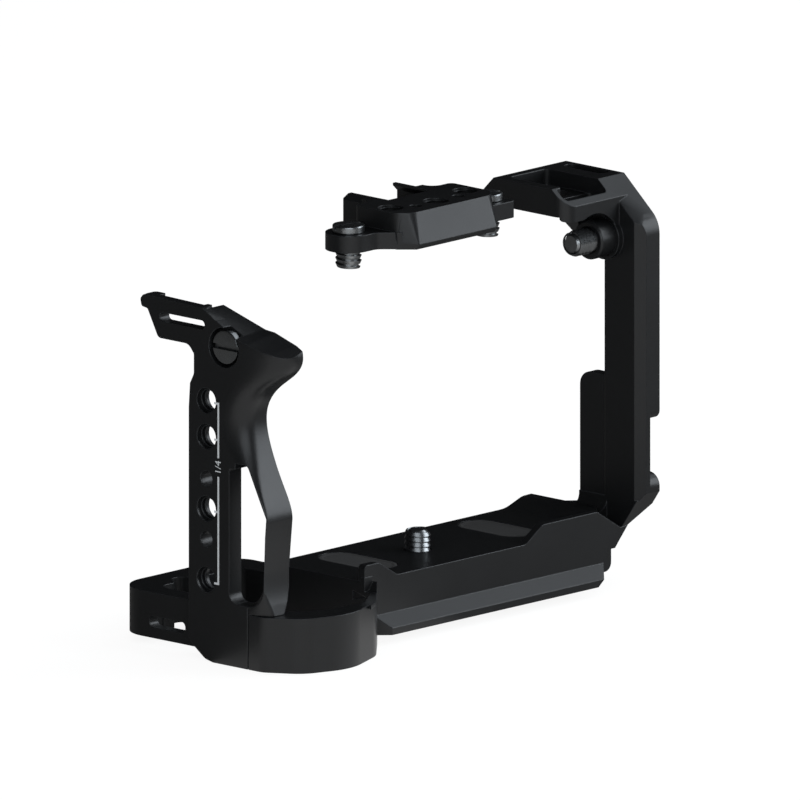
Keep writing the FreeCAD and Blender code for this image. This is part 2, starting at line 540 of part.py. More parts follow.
def build_grip_plate():
    outline = [(5.4, -12.9, 1.5), (1.7, -15.6, 3.0), (-1.0, PLATE_BOTTOM, 2.0),
               (PLATE_SEAM_Y, PLATE_BOTTOM), (PLATE_SEAM_Y, -2.4), (-6.0, -2.4), (-6.0, 35.0),
               (-3.0, 40.0), (-3.0, 48.0), (-8.0, 60.0), (-8.0, 65.4), (0.6, 70.8, 6.0),
               (3.0, 71.8, 2.0), (22.3, PLATE_TOP, 1.5), (23.3, 71.1, 0.8), (22.9, 69.3, 0.8), (20.9, 69.0, 0.8),
               (17.3, 62.2, 1.5), (7.2, 62.2, 2.5), (5.4, 60.0, 1.0), (5.4, 55.0, 2.0),
               (6.7, 52.5, 1.0), (PLATE_REAR, 46.5, 2.0), (PLATE_REAR, -11.5, 1.0)]
    plate = slab(outline, "x", PLATE_OUT, PLATE_IN)
    shoulder = slab([(4.6, 71.0, 0.8), (-9.0, 71.0), (-9.0, 52.0), (4.6, 52.0, 1.5)],
                    "x", PLATE_IN - 1, GUARD_IN)
    body = joined([plate, shoulder] + guard_body()).cut(horn_top())
    window = [(PLATE_WINDOW_REAR, PLATE_WINDOW_BOTTOM, 2.5), (-17.8, PLATE_WINDOW_BOTTOM, 5.0),
              (-18.4, 16.2, 8.0), (-18.9, 22.0, 2.0), (-12.4, PLATE_WINDOW_TOP, 2.0),
              (PLATE_WINDOW_REAR, PLATE_WINDOW_TOP, 2.4)]
    behind = [(PLATE_WINDOW_REAR, PLATE_WINDOW_BOTTOM, 2.5),
              (-17.8 + GUARD_DEPTH, PLATE_WINDOW_BOTTOM, 3.0), (-18.4 + GUARD_DEPTH, 16.2, 8.0),
              (-18.9 + GUARD_DEPTH, 21.6, 2.0), (-8.8, PLATE_WINDOW_TOP - 1.4, 0.8),
              (PLATE_WINDOW_REAR, PLATE_WINDOW_TOP - 1.4, 0.8)]
    straight = slab(behind, "x", PLATE_OUT - 1, GUARD_IN + 1)
    face = Part.Face(loop(window, "x", PLATE_OUT - 0.01))
    skew = face.extrude(V(GUARD_DEPTH + 0.3, GUARD_DEPTH, 0))
    skew = skew.common(box((-80, -60), (-30, PLATE_WINDOW_REAR - 2.0), (-10, 40)))
    inside = slab([(10.0, -3.0), (-18.0 + GUARD_DEPTH, -3.0), (-18.4 + GUARD_DEPTH, 16.2, 8.0),
                   (-18.9 + GUARD_DEPTH, 21.6, 2.0), (-7.0, 36.0, 4.0), (-1.0, 40.0), (10.0, 40.0)],
                  "x", PLATE_IN, GUARD_IN + 1)
    body = body.cut(straight).cut(skew).cut(inside)
    hook = slab([(PLATE_OUT, STRAP_HOOK_Y[0]), (PLATE_OUT, STRAP_HOOK_Y[1], 2.4),
                 (STRAP_HOOK_IN, STRAP_HOOK_Y[1], 1.0), (STRAP_HOOK_IN, STRAP_HOOK_Y[0], 0.5)],
                "z", STRAP_HOOK_UNDER, STRAP_HOOK_TOP)
    thin = box((PLATE_OUT + STRAP_TAB_THICK, GUARD_IN + 1), (4.7, 30), (61.0, PLATE_TOP + 1))
    bevel = slab([(PLATE_OUT + 1.7, PLATE_TOP + 0.4), (PLATE_IN + 1.0, PLATE_TOP - 2.4),
                  (PLATE_IN + 1.0, PLATE_TOP + 0.4)], "y", 4.7, 30)
    body = joined([body.cut(thin).cut(bevel), hook])
    slot = slab([(1.8, 66.4, 1.1), (16.8, 66.4, 1.1), (16.8, 68.7, 1.1), (1.8, 68.7, 1.1)],
                "x", PLATE_OUT - 1, PLATE_IN + 0.2)
    body = body.cut(slot)
    for z in BIG_HOLES_Z:
        body = body.cut(rod(SCREW_R, "x", (HOLE_Y, z), PLATE_OUT - 1, PLATE_IN + 1))
    for z in SMALL_HOLES_Z:
        body = body.cut(rod(SMALL_HOLE_R, "x", (HOLE_Y, z), PLATE_OUT - 1, PLATE_IN + 1))
    centre = (SIDE_SCREW_Y, SIDE_SCREW_Z)
    body = body.cut(rod(COUNTERBORE_R, "x", centre, PLATE_OUT - 1, PLATE_OUT + COUNTERBORE_DEPTH))
    body = body.cut(rod(SCREW_R + RUNNING_CLEARANCE, "x", centre, PLATE_OUT, GUARD_IN + 1))
    body = body.cut(rod(CLIP_POCKET_R, "x", centre, GUARD_IN - CLIP_THICK - 0.3, GUARD_IN + 1))
    for y, z in PLATE_SCREW_YZ:
        body = body.cut(rod(PLATE_SCREW_R + TAP_CLEARANCE, "x", (y, z), PLATE_IN - 3.0, PLATE_IN + 1))
    for y, z in DOWEL_YZ:
        body = body.cut(rod(DOWEL_R + TAP_CLEARANCE, "x", (y, z), PLATE_IN - 2.0, PLATE_IN + 1))
    return body


def top_outline(corner, level):
    """Outline of the top plate's body at one height, its front corners cut or rounded."""
    right = corner + [(TOP_HALF, TOP_SHOULDER_Y, 1.5), (PRONG_HALF, TOP_SHOULDER_Y, 3.0),
                      (PRONG_HALF, PRONG_REAR, 0.8)]
    left = [(-p[0],) + tuple(p[1:]) for p in reversed(right)]
    return loop(right + left, "z", level)


def build_top_plate():
    crown = Part.makeLoft([top_outline([(TOP_FACE_HALF, TOP_FOOT_FRONT), (TOP_HALF, TOP_CHEEK_Y)],
                                       TOP_FOOT_Z),
                           top_outline([(TOP_FACE_HALF, TOP_FRONT), (TOP_HALF, TOP_CHEEK_TOP_Y)],
                                       TOP_FACE)], True, True)
    lower = Part.makeLoft([top_outline([(TOP_FACE_HALF, TOP_FOOT_FRONT + 0.8),
                                           (TOP_HALF, TOP_CHEEK_Y)], TOP_UNDER),
                           top_outline([(TOP_FACE_HALF, TOP_FOOT_FRONT), (TOP_HALF, TOP_CHEEK_Y)],
                                       TOP_FOOT_Z)], True, True)
    ear_left = slab([(-TOP_HALF + 1, TOP_CHEEK_Y - 1.2), (-TOP_HALF - 0.6, TOP_CHEEK_Y + 0.6, 2.5),
                     (-TOP_HALF - 3.4, -EAR_R, 3.0),
                     (-EAR_X - EAR_R, -EAR_R, EAR_R * 0.999), (-EAR_X - EAR_R, EAR_R, EAR_R * 0.999),
                     (-TOP_HALF + 1, EAR_R)], "z", EAR_UNDER, EAR_TOP)
    ear_right = slab([(TOP_HALF - 1, -EAR_R), (EAR_RIGHT_END, -EAR_R, EAR_CORNER_R),
                      (EAR_RIGHT_END, EAR_R, EAR_CORNER_R), (TOP_HALF - 1, EAR_R)],
                     "z", EAR_UNDER, EAR_TOP)
    body = joined([crown, lower, ear_left, ear_right])
    shoe = slab([(-SHOE_WALL_HALF, SHOE_FLOOR), (SHOE_WALL_HALF, SHOE_FLOOR),
                 (SHOE_WALL_HALF, SHOE_LIP_Z), (SHOE_LIP_HALF, TOP_FACE - 0.6),
                 (SHOE_LIP_HALF, TOP_FACE + 1), (-SHOE_LIP_HALF, TOP_FACE + 1),
                 (-SHOE_LIP_HALF, TOP_FACE - 0.6), (-SHOE_WALL_HALF, SHOE_LIP_Z)],
                "y", SHOE_FRONT, PRONG_REAR + 1)
    body = body.cut(shoe)
    for side in (-1, 1):
        bevel = slab([(side * (PRONG_HALF + 1), TOP_FACE - 1.7), (side * (PRONG_HALF - 3), TOP_FACE + 0.33),
                      (side * (PRONG_HALF + 1), TOP_FACE + 0.33)], "y", PRONG_BEVEL_Y, PRONG_REAR + 1)
        body = body.cut(bevel)
    for x, y, r in TOP_HOLES:
        body = body.cut(rod(r, "z", (x, y), TOP_UNDER - 1, TOP_FACE + 1))
    for x in (-EAR_X, EAR_X):
        body = body.cut(rod(SCREW_R + RUNNING_CLEARANCE, "z", (x, 0), EAR_UNDER - 1, EAR_TOP + 1))
        body = body.cut(rod(CLIP_POCKET_R, "z", (x, 0), EAR_UNDER - 1, EAR_UNDER + CLIP_THICK + 0.2))
    return body


def pin(radius, edge, axis, centre, foot, end):
    """Cylinder from its foot to its end, where it has a chamfer."""
    way = 1 if end > foot else -1
    neck = end - way * edge
    shaft = rod(radius, axis, centre, min(foot, neck), max(foot, neck))
    sizes = (radius, radius - edge)[::way]
    return shaft.fuse(taper(*sizes, axis, centre, min(neck, end), max(neck, end)))


def camera_screw(axis, centre, seat, tip, head_r, head_thick, clip_at):
    """Captive screw: slotted head, full-diameter shank, chamfered tip and clip groove."""
    way = 1 if tip < seat else -1
    shank = pin(SCREW_R, THREAD_EDGE, axis, centre, seat, tip)
    head_end = seat + way * head_thick
    head = pin(head_r, HEAD_EDGE, axis, centre, seat, head_end)
    screw = joined([shank, head])
    bottom = head_end - way * SLOT_DEPTH
    cut = [centre[0] - head_r - 1, centre[0] + head_r + 1]
    low, high = min(bottom, head_end + way), max(bottom, head_end + way)
    half = SLOT_WIDTH / 2
    if axis == "x":
        slot = box((low, high), cut, (centre[1] - half, centre[1] + half))
    else:
        slot = box(cut, (centre[1] - half, centre[1] + half), (low, high))
    screw = screw.cut(slot)
    if clip_at:
        groove = rod(SCREW_R + 1, axis, centre, *clip_at)
        screw = screw.cut(groove.cut(rod(CLIP_BORE_R, axis, centre, *clip_at)))
    return screw


def retaining_clip(axis, centre, clip_at):
    """Open spring clip that sits in the groove of a captive screw."""
    clip = rod(CLIP_R, axis, centre, *clip_at).cut(rod(CLIP_BORE_R, axis, centre, *clip_at))
    mouth = CLIP_MOUTH / 2
    a, b = centre
    return clip.cut(slab([(a - mouth, b), (a + mouth, b), (a + mouth, b + 9), (a - mouth, b + 9)],
                         axis, clip_at[0] - 1, clip_at[1] + 1))


def seat_pad(x):
    return obround(PAD_HALF_WIDTH, PAD_HALF_LENGTH, (x, PAD_Y), -PAD_DEPTH, -PAD_RECESS)


def base_screw():
    screw = camera_screw("z", (0, 0), BASE_HEAD_Z[1], BASE_SCREW_TIP, BASE_HEAD_R,
                         BASE_HEAD_Z[1] - BASE_HEAD_Z[0], None)
    shank = (BASE_HEAD_Z[1], 0)
    sleeve = rod(SCREW_R + 1, "z", (0, 0), *shank).cut(rod(BASE_SHANK_R, "z", (0, 0), *shank))
    return screw.cut(sleeve)


def base_screw_ring():
    ring = rod(BASE_RING_OUT, "z", (0, 0), *BASE_RING_Z).cut(rod(BASE_RING_IN, "z", (0, 0), *BASE_RING_Z))
    return ring.cut(box((-CLIP_MOUTH / 2, CLIP_MOUTH / 2), (0, 12), (-20, 0)))


def plate_screw(y, z):
    shank = rod(PLATE_SCREW_R, "x", (y, z), PLATE_IN - 2.8, RING_IN_LEFT - 0.4)
    head = taper(PLATE_SCREW_R, PLATE_SCREW_HEAD_R, "x", (y, z),
                 RING_IN_LEFT - 0.4 - (PLATE_SCREW_HEAD_R - PLATE_SCREW_R), RING_IN_LEFT - 0.4)
    socket = rod(PLATE_SOCKET_R, "x", (y, z), RING_IN_LEFT - 1.4, RING_IN_LEFT)
    return joined([shank, head]).cut(socket)


def dowel(y, z):
    return rod(DOWEL_R, "x", (y, z), PLATE_IN - 1.9, PLATE_IN + 1.9)


os.makedirs("parts", exist_ok=True)
ear_clip = (EAR_UNDER + 0.1, EAR_UNDER + 0.1 + CLIP_THICK)
grip_clip = (GUARD_IN - 0.1 - CLIP_THICK, GUARD_IN - 0.1)
post_clip = (POST_BOSS_FACE - CLIP_CLEARANCE - CLIP_THICK, POST_BOSS_FACE - CLIP_CLEARANCE)
grip_yz = (SIDE_SCREW_Y, SIDE_SCREW_Z)
post_yz = (POST_SCREW_Y, POST_SCREW_Z)
nodes = {
    "cage_frame": build_frame(),
    "grip_side_plate": build_grip_plate(),
    "top_plate": build_top_plate(),
    "seat_pad_left": seat_pad(PAD_X[0]),
    "seat_pad_right": seat_pad(PAD_X[1]),
    "tripod_screw": base_screw(),
    "tripod_screw_clip": base_screw_ring(),
    "top_screw_left": camera_screw("z", (-EAR_X, 0), EAR_TOP, TOP_SCREW_TIP, TOP_HEAD_R,
                                   TOP_HEAD_THICK, ear_clip),
    "top_screw_right": camera_screw("z", (EAR_X, 0), EAR_TOP, TOP_SCREW_TIP, TOP_HEAD_R,
                                    TOP_HEAD_THICK, ear_clip),
    "top_clip_left": retaining_clip("z", (-EAR_X, 0), ear_clip),
    "top_clip_right": retaining_clip("z", (EAR_X, 0), ear_clip),
    "grip_side_screw": camera_screw("x", grip_yz, PLATE_OUT + COUNTERBORE_DEPTH, SIDE_SCREW_TIP,
                                    SIDE_HEAD_R, SIDE_HEAD_THICK, grip_clip),
    "grip_side_clip": retaining_clip("x", grip_yz, grip_clip),
    "post_side_screw": camera_screw("x", post_yz, POST_HEAD_SEAT, POST_SCREW_TIP,
                                    POST_HEAD_R, POST_HEAD_THICK, post_clip),
    "post_side_clip": retaining_clip("x", post_yz, post_clip),
    "plate_screws": Part.makeCompound([plate_screw(y, z) for y, z in PLATE_SCREW_YZ]),
    "plate_dowels": Part.makeCompound([dowel(y, z) for y, z in DOWEL_YZ]),
}
for name, shape in nodes.items():
    shape.exportStep("parts/" + name + ".step")
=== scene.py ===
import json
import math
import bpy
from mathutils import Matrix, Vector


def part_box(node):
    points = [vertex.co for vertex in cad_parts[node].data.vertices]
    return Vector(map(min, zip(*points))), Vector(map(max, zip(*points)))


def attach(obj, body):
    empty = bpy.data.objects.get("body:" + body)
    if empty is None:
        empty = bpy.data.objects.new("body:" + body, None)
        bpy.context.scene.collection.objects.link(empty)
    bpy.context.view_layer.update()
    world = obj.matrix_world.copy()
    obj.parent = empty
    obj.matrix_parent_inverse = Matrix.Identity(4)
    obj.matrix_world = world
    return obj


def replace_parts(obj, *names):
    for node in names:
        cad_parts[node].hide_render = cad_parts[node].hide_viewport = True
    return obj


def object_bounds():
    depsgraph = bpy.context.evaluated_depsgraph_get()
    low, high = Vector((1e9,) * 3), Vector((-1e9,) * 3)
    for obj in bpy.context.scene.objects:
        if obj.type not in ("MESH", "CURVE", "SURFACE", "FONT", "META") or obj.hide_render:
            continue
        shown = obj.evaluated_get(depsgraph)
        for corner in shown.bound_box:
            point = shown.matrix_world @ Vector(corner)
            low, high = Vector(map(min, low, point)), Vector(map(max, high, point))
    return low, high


bl_info = {
    "name": "Camera cage",
    "version": (1, 0, 0),
    "blender": (4, 5, 0),
    "location": "View3D > Sidebar > Camera cage",
    "description": "Dresses a machined camera cage: dark anodised metal, threaded screws, pads and marks",
    "category": "Object",
}

import bmesh
import bpy
from bpy.props import FloatProperty, FloatVectorProperty, IntProperty, PointerProperty, StringProperty
from bpy.types import Operator, Panel, PropertyGroup
from mathutils import Matrix, Vector

MM = 0.001
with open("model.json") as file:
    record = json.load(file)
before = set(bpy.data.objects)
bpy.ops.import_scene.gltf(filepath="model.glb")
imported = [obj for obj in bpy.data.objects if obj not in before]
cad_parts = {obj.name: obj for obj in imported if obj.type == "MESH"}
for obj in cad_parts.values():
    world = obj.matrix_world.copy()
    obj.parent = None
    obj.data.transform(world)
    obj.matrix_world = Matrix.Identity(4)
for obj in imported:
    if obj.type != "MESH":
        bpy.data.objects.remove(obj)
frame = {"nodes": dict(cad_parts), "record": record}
CAD_LOW, CAD_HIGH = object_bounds()

# How each captive screw lies: its node, the body it rides on, the way its tip points and its slot's turn
SCREWS = (
    ("tripod_screw", "tripod_screw", "+Z", 0.0),
    ("top_screw_left", "top_screw_left", "-Z", 14.0),
    ("top_screw_right", "top_screw_right", "-Z", 24.0),
    ("grip_side_screw", "grip_side_screw", "+X", 90.0),
    ("post_side_screw", "post_side_screw", "-X", 30.0),
)

# Turns from +Z to each way that a screw or a hole points
TURNS = {"+Z": Matrix.Identity(4), "-Z": Matrix.Rotation(math.pi, 4, "X"),
         "+X": Matrix.Rotation(math.pi / 2, 4, "Y"), "-X": Matrix.Rotation(-math.pi / 2, 4, "Y")}

# Finer machining of the three metal pieces, in millimetres. A row is two coordinates, and a radius
# where the corner is rounded.
# The corner of the base before the post is cut away along the view, down to a crease.
FOOT_CORNER = ((47.0, 4.1), (55.3, -1.1), (58.3, -0.9), (66.0, -0.9), (66.0, 20.0), (47.0, 20.0))
FOOT_START = (-0.533, -16.4, 0.162)
FOOT_RUN = (12.531, 11.757, -3.819)
FOOT_LIMITS = ((40.0, 62.56), (-30.0, -4.66), (-20.0, 40.0))
# The ring's opening follows its front wall, and its rim is level up to the seat block.
RING_OPENING = ((-65.49, -16.0, 5.0), (-61.5, -20.2, 6.0), (-55.5, -23.2, 8.0), (-48.5, -23.4, 4.0),
                (-44.6, -24.0, 2.0), (-35.91, -18.0, 1.5), (-35.91, 0.0), (-65.49, 0.0))
RIM_RISE = ((-48.0, -2.49), (-34.6, -2.49), (-33.2, -0.6), (-32.6, 0.2), (-32.6, 3.0), (-48.0, 3.0))
ARROW = ((-16.4, -3.8), (-12.1, -2.6), (-12.1, -5.0))
SEAM = ((-74.2, -13.0), (-73.5, -12.7), (-74.2, -12.4))
# The arm's front left corner is round, and its opening is wider at the front.
ARM_CORNER = (43.5, -8.75, 4.0)
ARM_NOTCH = ((44.9, -7.2, 1.5), (47.0, -7.2), (47.0, -4.2), (44.9, -4.2, 0.8))
POST_CHAMFER = ((62.4, -13.64), (64.9, -16.14), (62.4, -16.14))
# Front corners of the top plate: before, corner and after, at its foot and at its face.
TOP_CORNERS = (
    (((0.0, -13.6), (13.9, -13.6), (17.3, -9.2)), ((0.0, -11.6), (13.9, -11.6), (17.3, -8.2))),
    (((13.9, -13.6), (17.3, -9.2), (17.3, 0.0)), ((13.9, -11.6), (17.3, -8.2), (17.3, 0.0))))
TOP_CORNER_Z = (80.3, 88.1)
TOP_CORNER_R = (0.6, 5.0)
# Collar round the side screw, as radius and distance from the boss.
COLLAR = ((4.35, 0.0), (4.8, 0.0), (4.8, 4.8), (4.4, 5.2), (3.5, 5.2), (3.3, 5.0), (3.3, 1.3),
          (4.35, 1.3))
BOSS_FACE = 61.0
SCREW_YZ = (-4.6, 68.75)
SMOOTH_BELOW = 28
# Vertices closer than this are one.
WELD = 0.0005
# Threaded holes: the body, the way in, the mouth's place and the depth.
THREADED_HOLES = tuple(("cage", "+X", (-74.0, 1.2, z), 4.35) for z in (48.9, 39.9, 21.9, 4.2)) + tuple(
    ("top_plate", "-Z", (x, y, 88.0), 8.5) for x, y in ((0.0, -6.2), (-13.3, -3.5), (13.3, -3.5)))
# Break of a screw head's edges, and the share of the thread's depth left off at the tip.
HEAD_EDGE = 0.22
TIP_SHARE = 0.3
# Skin of a pad from its foot to its sunk middle: inset, the side it counts from and the height there.
PAD_SKIN = ((0.25, "low", 0.0), (0.0, "low", 0.25), (0.0, "high", -0.2), (0.06, "high", -0.06),
            (0.2, "high", 0.0), (0.9, "high", 0.0), (1.05, "high", -0.09), (1.6, "high", -0.1))
PAD_STEPS = 40
# Heights of the printed line's two stretches, of its ticks and of the figures between them.
LINE_SPANS = ((3.7, 30.2), (35.4, 48.7))
TICK_HEIGHTS = (3.7, 21.6, 39.6, 48.7)
FIGURE_Z = 32.8

# The stage, in metres: each lamp's place, its width and height, and the setting with its power
LAMPS = (
    ("key_lamp", (0.66, -0.60, 0.36), (0.75, 0.56), "key_power"),
    ("front_lamp", (-0.62, -0.66, 0.36), (0.80, 0.50), "front_power"),
    ("top_lamp", (0.62, -0.16, 0.68), (0.70, 0.70), "top_power"),
)
LAMP_AIM = (0, 0, 0.035)
CAMERA_DISTANCE = 0.9
SQUARE = ((-1, -1), (1, -1), (1, 1), (-1, 1))
FLOOR_HALF = 4
CARD_HALF = 1.2
CARD_TOP = 0.9
# Glowing cards on the floor: limits in X, limits in Y and strength
GLOWS = (
    ("glow_front_left", (-CARD_HALF, 0), (-CARD_HALF, 0), 0.75),
    ("glow_front_right", (0, CARD_HALF), (-CARD_HALF, 0), 0.26),
    ("glow_back", (-CARD_HALF, CARD_HALF), (0, CARD_HALF), 0.12),
)


# Settings that a user would change


class MetalSettings(PropertyGroup):
    """Colours and grain of the metal, rubber and printed marks"""

    body_colour: FloatVectorProperty(
        name="Anodised colour", description="Colour of the anodised aluminium",
        subtype="COLOR", size=4, min=0, max=1, default=(0.0066, 0.0070, 0.0076, 1))
    # Painted highlight: a lighter colour that the metal takes along its rounded edges, standing in for
    # the light that small chamfers catch
    edge_highlight_colour: FloatVectorProperty(
        name="Edge colour", description="Colour of the anodised metal as a painted highlight along its edges",
        subtype="COLOR", size=4, min=0, max=1, default=(0.030, 0.033, 0.037, 1))
    steel_colour: FloatVectorProperty(
        name="Screw colour", description="Colour of the turned steel screws",
        subtype="COLOR", size=4, min=0, max=1, default=(0.28, 0.29, 0.295, 1))
    clip_colour: FloatVectorProperty(
        name="Clip colour", description="Colour of the dark spring clips",
        subtype="COLOR", size=4, min=0, max=1, default=(0.09, 0.092, 0.095, 1))
    rubber_colour: FloatVectorProperty(
        name="Rubber colour", description="Colour of the seat pads",
        subtype="COLOR", size=4, min=0, max=1, default=(0.0035, 0.0036, 0.0038, 1))
    mark_colour: FloatVectorProperty(
        name="Mark colour", description="Colour of the printed lines and figures",
        subtype="COLOR", size=4, min=0, max=1, default=(0.62, 0.64, 0.65, 1))
    edge_radius: FloatProperty(
        name="Edge radius", description="Radius that the edges of the anodised metal seem to have",
        unit="LENGTH", min=0, default=0.32 * MM)
    grain: FloatProperty(
        name="Grain", description="Size of the blasted grain", unit="LENGTH",
        min=0.01 * MM, default=0.16 * MM)


class ThreadSettings(PropertyGroup):
    """Sizes of the camera screw thread"""

    pitch: FloatProperty(
        name="Pitch", description="Rise of one turn", unit="LENGTH", default=1.27 * MM)
    crest_radius: FloatProperty(
        name="Crest radius", description="Outer radius of the thread", unit="LENGTH",
        default=3.16 * MM)
    root_radius: FloatProperty(
        name="Root radius", description="Radius at the bottom of the thread", unit="LENGTH",
        default=2.50 * MM)
    crest_width: FloatProperty(
        name="Crest width", description="Flat at the top of the thread", unit="LENGTH",
        default=0.26 * MM)
    foot_width: FloatProperty(
        name="Foot width", description="Width of the ridge at its foot", unit="LENGTH",
        default=1.02 * MM)
    hole_root: FloatProperty(
        name="Hole radius", description="Radius at the bottom of the thread in a hole",
        unit="LENGTH", default=3.3 * MM)
    hole_crest: FloatProperty(
        name="Hole crest", description="Inner radius of the thread in a hole", unit="LENGTH",
        default=2.7 * MM)
    steps: IntProperty(
        name="Steps per turn", description="Straight steps in one turn of the ridge",
        min=8, default=40)
    slot_width: FloatProperty(
        name="Slot width", description="Width of the driver slot", unit="LENGTH",
        default=1.3 * MM)
    slot_depth: FloatProperty(
        name="Slot depth", description="Depth of the driver slot", unit="LENGTH",
        default=1.1 * MM)


class MarkSettings(PropertyGroup):
    """Printed scale beside the threaded holes of the grip plate"""

    line_width: FloatProperty(
        name="Line width", description="Width of the printed lines", unit="LENGTH",
        default=0.55 * MM)
    line_y: FloatProperty(
        name="Line place", description="Y of the long line", unit="LENGTH", default=-2.8 * MM)
    tick_length: FloatProperty(
        name="Tick length", description="Length of a short line towards a hole", unit="LENGTH",
        default=1.1 * MM)
    figure_height: FloatProperty(
        name="Figure height", description="Height of the printed thread size", unit="LENGTH",
        default=2.7 * MM)
    figures: StringProperty(
        name="Thread size", description="Size of the threaded holes", default="1/4")
    ink: FloatProperty(
        name="Ink thickness", description="Thickness of the print", unit="LENGTH",
        default=0.03 * MM)


class StageSettings(PropertyGroup):
    """Camera, lamps and floor"""

    turn: FloatProperty(
        name="Turn", description="Turn of the camera round the cage, from the lens side",
        subtype="ANGLE", default=math.radians(-46.84))
    height: FloatProperty(
        name="Height", description="Height angle of the camera", subtype="ANGLE",
        default=math.radians(12.553))
    width: FloatProperty(
        name="View width", description="Width that the camera sees", unit="LENGTH",
        default=800 / 4.1 * MM)
    aim_right: FloatProperty(
        name="Aim right", description="Shift of the view to the right of the origin",
        unit="LENGTH", default=-4.27 * MM)
    aim_up: FloatProperty(
        name="Aim up", description="Shift of the view above the origin", unit="LENGTH",
        default=36.34 * MM)
    key_power: FloatProperty(
        name="Key lamp", description="Power of the large soft lamp at the right", unit="POWER",
        default=5.0)
    front_power: FloatProperty(
        name="Front lamp", description="Power of the wide lamp behind the camera", unit="POWER",
        default=2.9)
    top_power: FloatProperty(
        name="Top lamp", description="Power of the lamp high at the right", unit="POWER",
        default=1.8)
    lamp_colour: FloatVectorProperty(
        name="Lamp colour", description="Colour of the lamps", subtype="COLOR", size=3, min=0,
        max=1, default=(0.88, 0.94, 1.0))
    fill: FloatProperty(
        name="Fill light", description="Strength of the even light from all round", min=0,
        default=0.45)


# Shared helpers


def new_object(name, mesh, body):
    """Puts a finished mesh in the scene as a piece that rides on a body."""
    piece = bpy.data.objects.new(name, mesh)
    bpy.context.scene.collection.objects.link(piece)
    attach(piece, body)
    return piece


def evaluated_mesh(source, name):
    """The mesh of an object with its modifiers applied. The source object is removed."""
    bpy.context.view_layer.update()
    graph = bpy.context.evaluated_depsgraph_get()
    mesh = bpy.data.meshes.new_from_object(source.evaluated_get(graph), depsgraph=graph)
    mesh.name = name
    source.modifiers.clear()
    bpy.data.objects.remove(source)
    return mesh


def working_object(name, mesh):
    """Puts a mesh in the scene for its modifiers only."""
    source = bpy.data.objects.new(name, mesh)
    bpy.context.scene.collection.objects.link(source)
    return source


def shade_smooth_by_angle(mesh, degrees):
    """Smooth faces, with the edges sharper than an angle kept sharp."""
    work = bmesh.new()
    work.from_mesh(mesh)
    limit = math.radians(degrees)
    for face in work.faces:
        face.smooth = True
    for edge in work.edges:
        edge.smooth = len(edge.link_faces) == 2 and edge.calc_face_angle(0) < limit
    work.to_mesh(mesh)
    work.free()


def band(work, lower, upper):
    """Faces between two rings of vertices."""
    count = len(lower)
    for i in range(count):
        j = (i + 1) % count
        work.faces.new((lower[i], lower[j], upper[j], upper[i]))


def closed_mesh(work, name):
    """Mesh of a finished skin with its faces turned outward."""
    bmesh.ops.recalc_face_normals(work, faces=work.faces)
    mesh = bpy.data.meshes.new(name)
    work.to_mesh(mesh)
    work.free()
    return mesh


def turned_mesh(name, profile, steps=96, ring=False):
    """Solid turned about Z from (radius, height) points in metres, closed on the axis or as a ring."""
    work = bmesh.new()
    rings = []
    for radius, height in profile:
        if radius == 0:
            rings.append([work.verts.new((0, 0, height))])
            continue
        rings.append([work.verts.new((radius * math.cos(math.tau * i / steps),
                                      radius * math.sin(math.tau * i / steps), height))
                      for i in range(steps)])
    for low, high in zip(rings, rings[1:] + rings[:1] if ring else rings[1:]):
        for i in range(steps):
            j = (i + 1) % steps
            if len(low) == 1:
                work.faces.new((low[0], high[j], high[i]))
            elif len(high) == 1:
                work.faces.new((low[i], low[j], high[0]))
            else:
                work.faces.new((low[i], low[j], high[j], high[i]))
    return closed_mesh(work, name)


def prism_mesh(name, outline, low, high):
    """Closed prism along Z over an outline of (x, y) points, in metres."""
    work = bmesh.new()
    bottom = [work.verts.new((x, y, low)) for x, y in outline]
    top = [work.verts.new((x, y, high)) for x, y in outline]
    work.faces.new(list(reversed(bottom)))
    work.faces.new(top)
    band(work, bottom, top)
    return closed_mesh(work, name)


def corner_arc(before, here, after, radius, steps=8):
    """Points of the arc that rounds the corner between two straight runs."""
    here = Vector(here)
    back = (Vector(before) - here).normalized()
    on = (Vector(after) - here).normalized()
    half = back.angle(on) / 2
    centre = here + (back + on).normalized() * radius / math.sin(half)
    start = here + back * radius / math.tan(half) - centre
    end = here + on * radius / math.tan(half) - centre
    sweep = start.angle_signed(end)
    return [centre + Matrix.Rotation(-sweep * k / steps, 2) @ start for k in range(steps + 1)]


def rounded(points):
    """Outline with each corner (a, b, radius) rounded, and (a, b) kept sharp."""
    outline = []
    for i, point in enumerate(points):
        if len(point) > 2:
            outline += corner_arc(points[i - 1][:2], point[:2], points[(i + 1) % len(points)][:2],
                                  point[2])
        else:
            outline.append(Vector(point))
    return outline


def lofted_mesh(name, lower, upper):
    """Closed solid between two outlines with as many points in space each, in millimetres."""
    work = bmesh.new()
    bottom = [work.verts.new(Vector(p) * MM) for p in lower]
    top = [work.verts.new(Vector(p) * MM) for p in upper]
    work.faces.new(list(reversed(bottom)))
    work.faces.new(top)
    band(work, bottom, top)
    bmesh.ops.triangulate(work, faces=work.faces)
    return closed_mesh(work, name)


def in_space(outline, axis, level):
    """Outline of (a, b) points put on the plane across an axis."""
    if axis == "x":
        return [(level, a, b) for a, b in outline]
    if axis == "y":
        return [(a, level, b) for a, b in outline]
    return [(a, b, level) for a, b in outline]


def slab_mesh(name, points, axis, low, high):
    """Prism along an axis over a rounded outline, in millimetres."""
    outline = rounded(points)
    return lofted_mesh(name, in_space(outline, axis, low), in_space(outline, axis, high))


def box_mesh(name, x, y, z):
    """Box between pairs of limits, in millimetres."""
    return slab_mesh(name, ((x[0], y[0]), (x[1], y[0]), (x[1], y[1]), (x[0], y[1])), "z", *z)


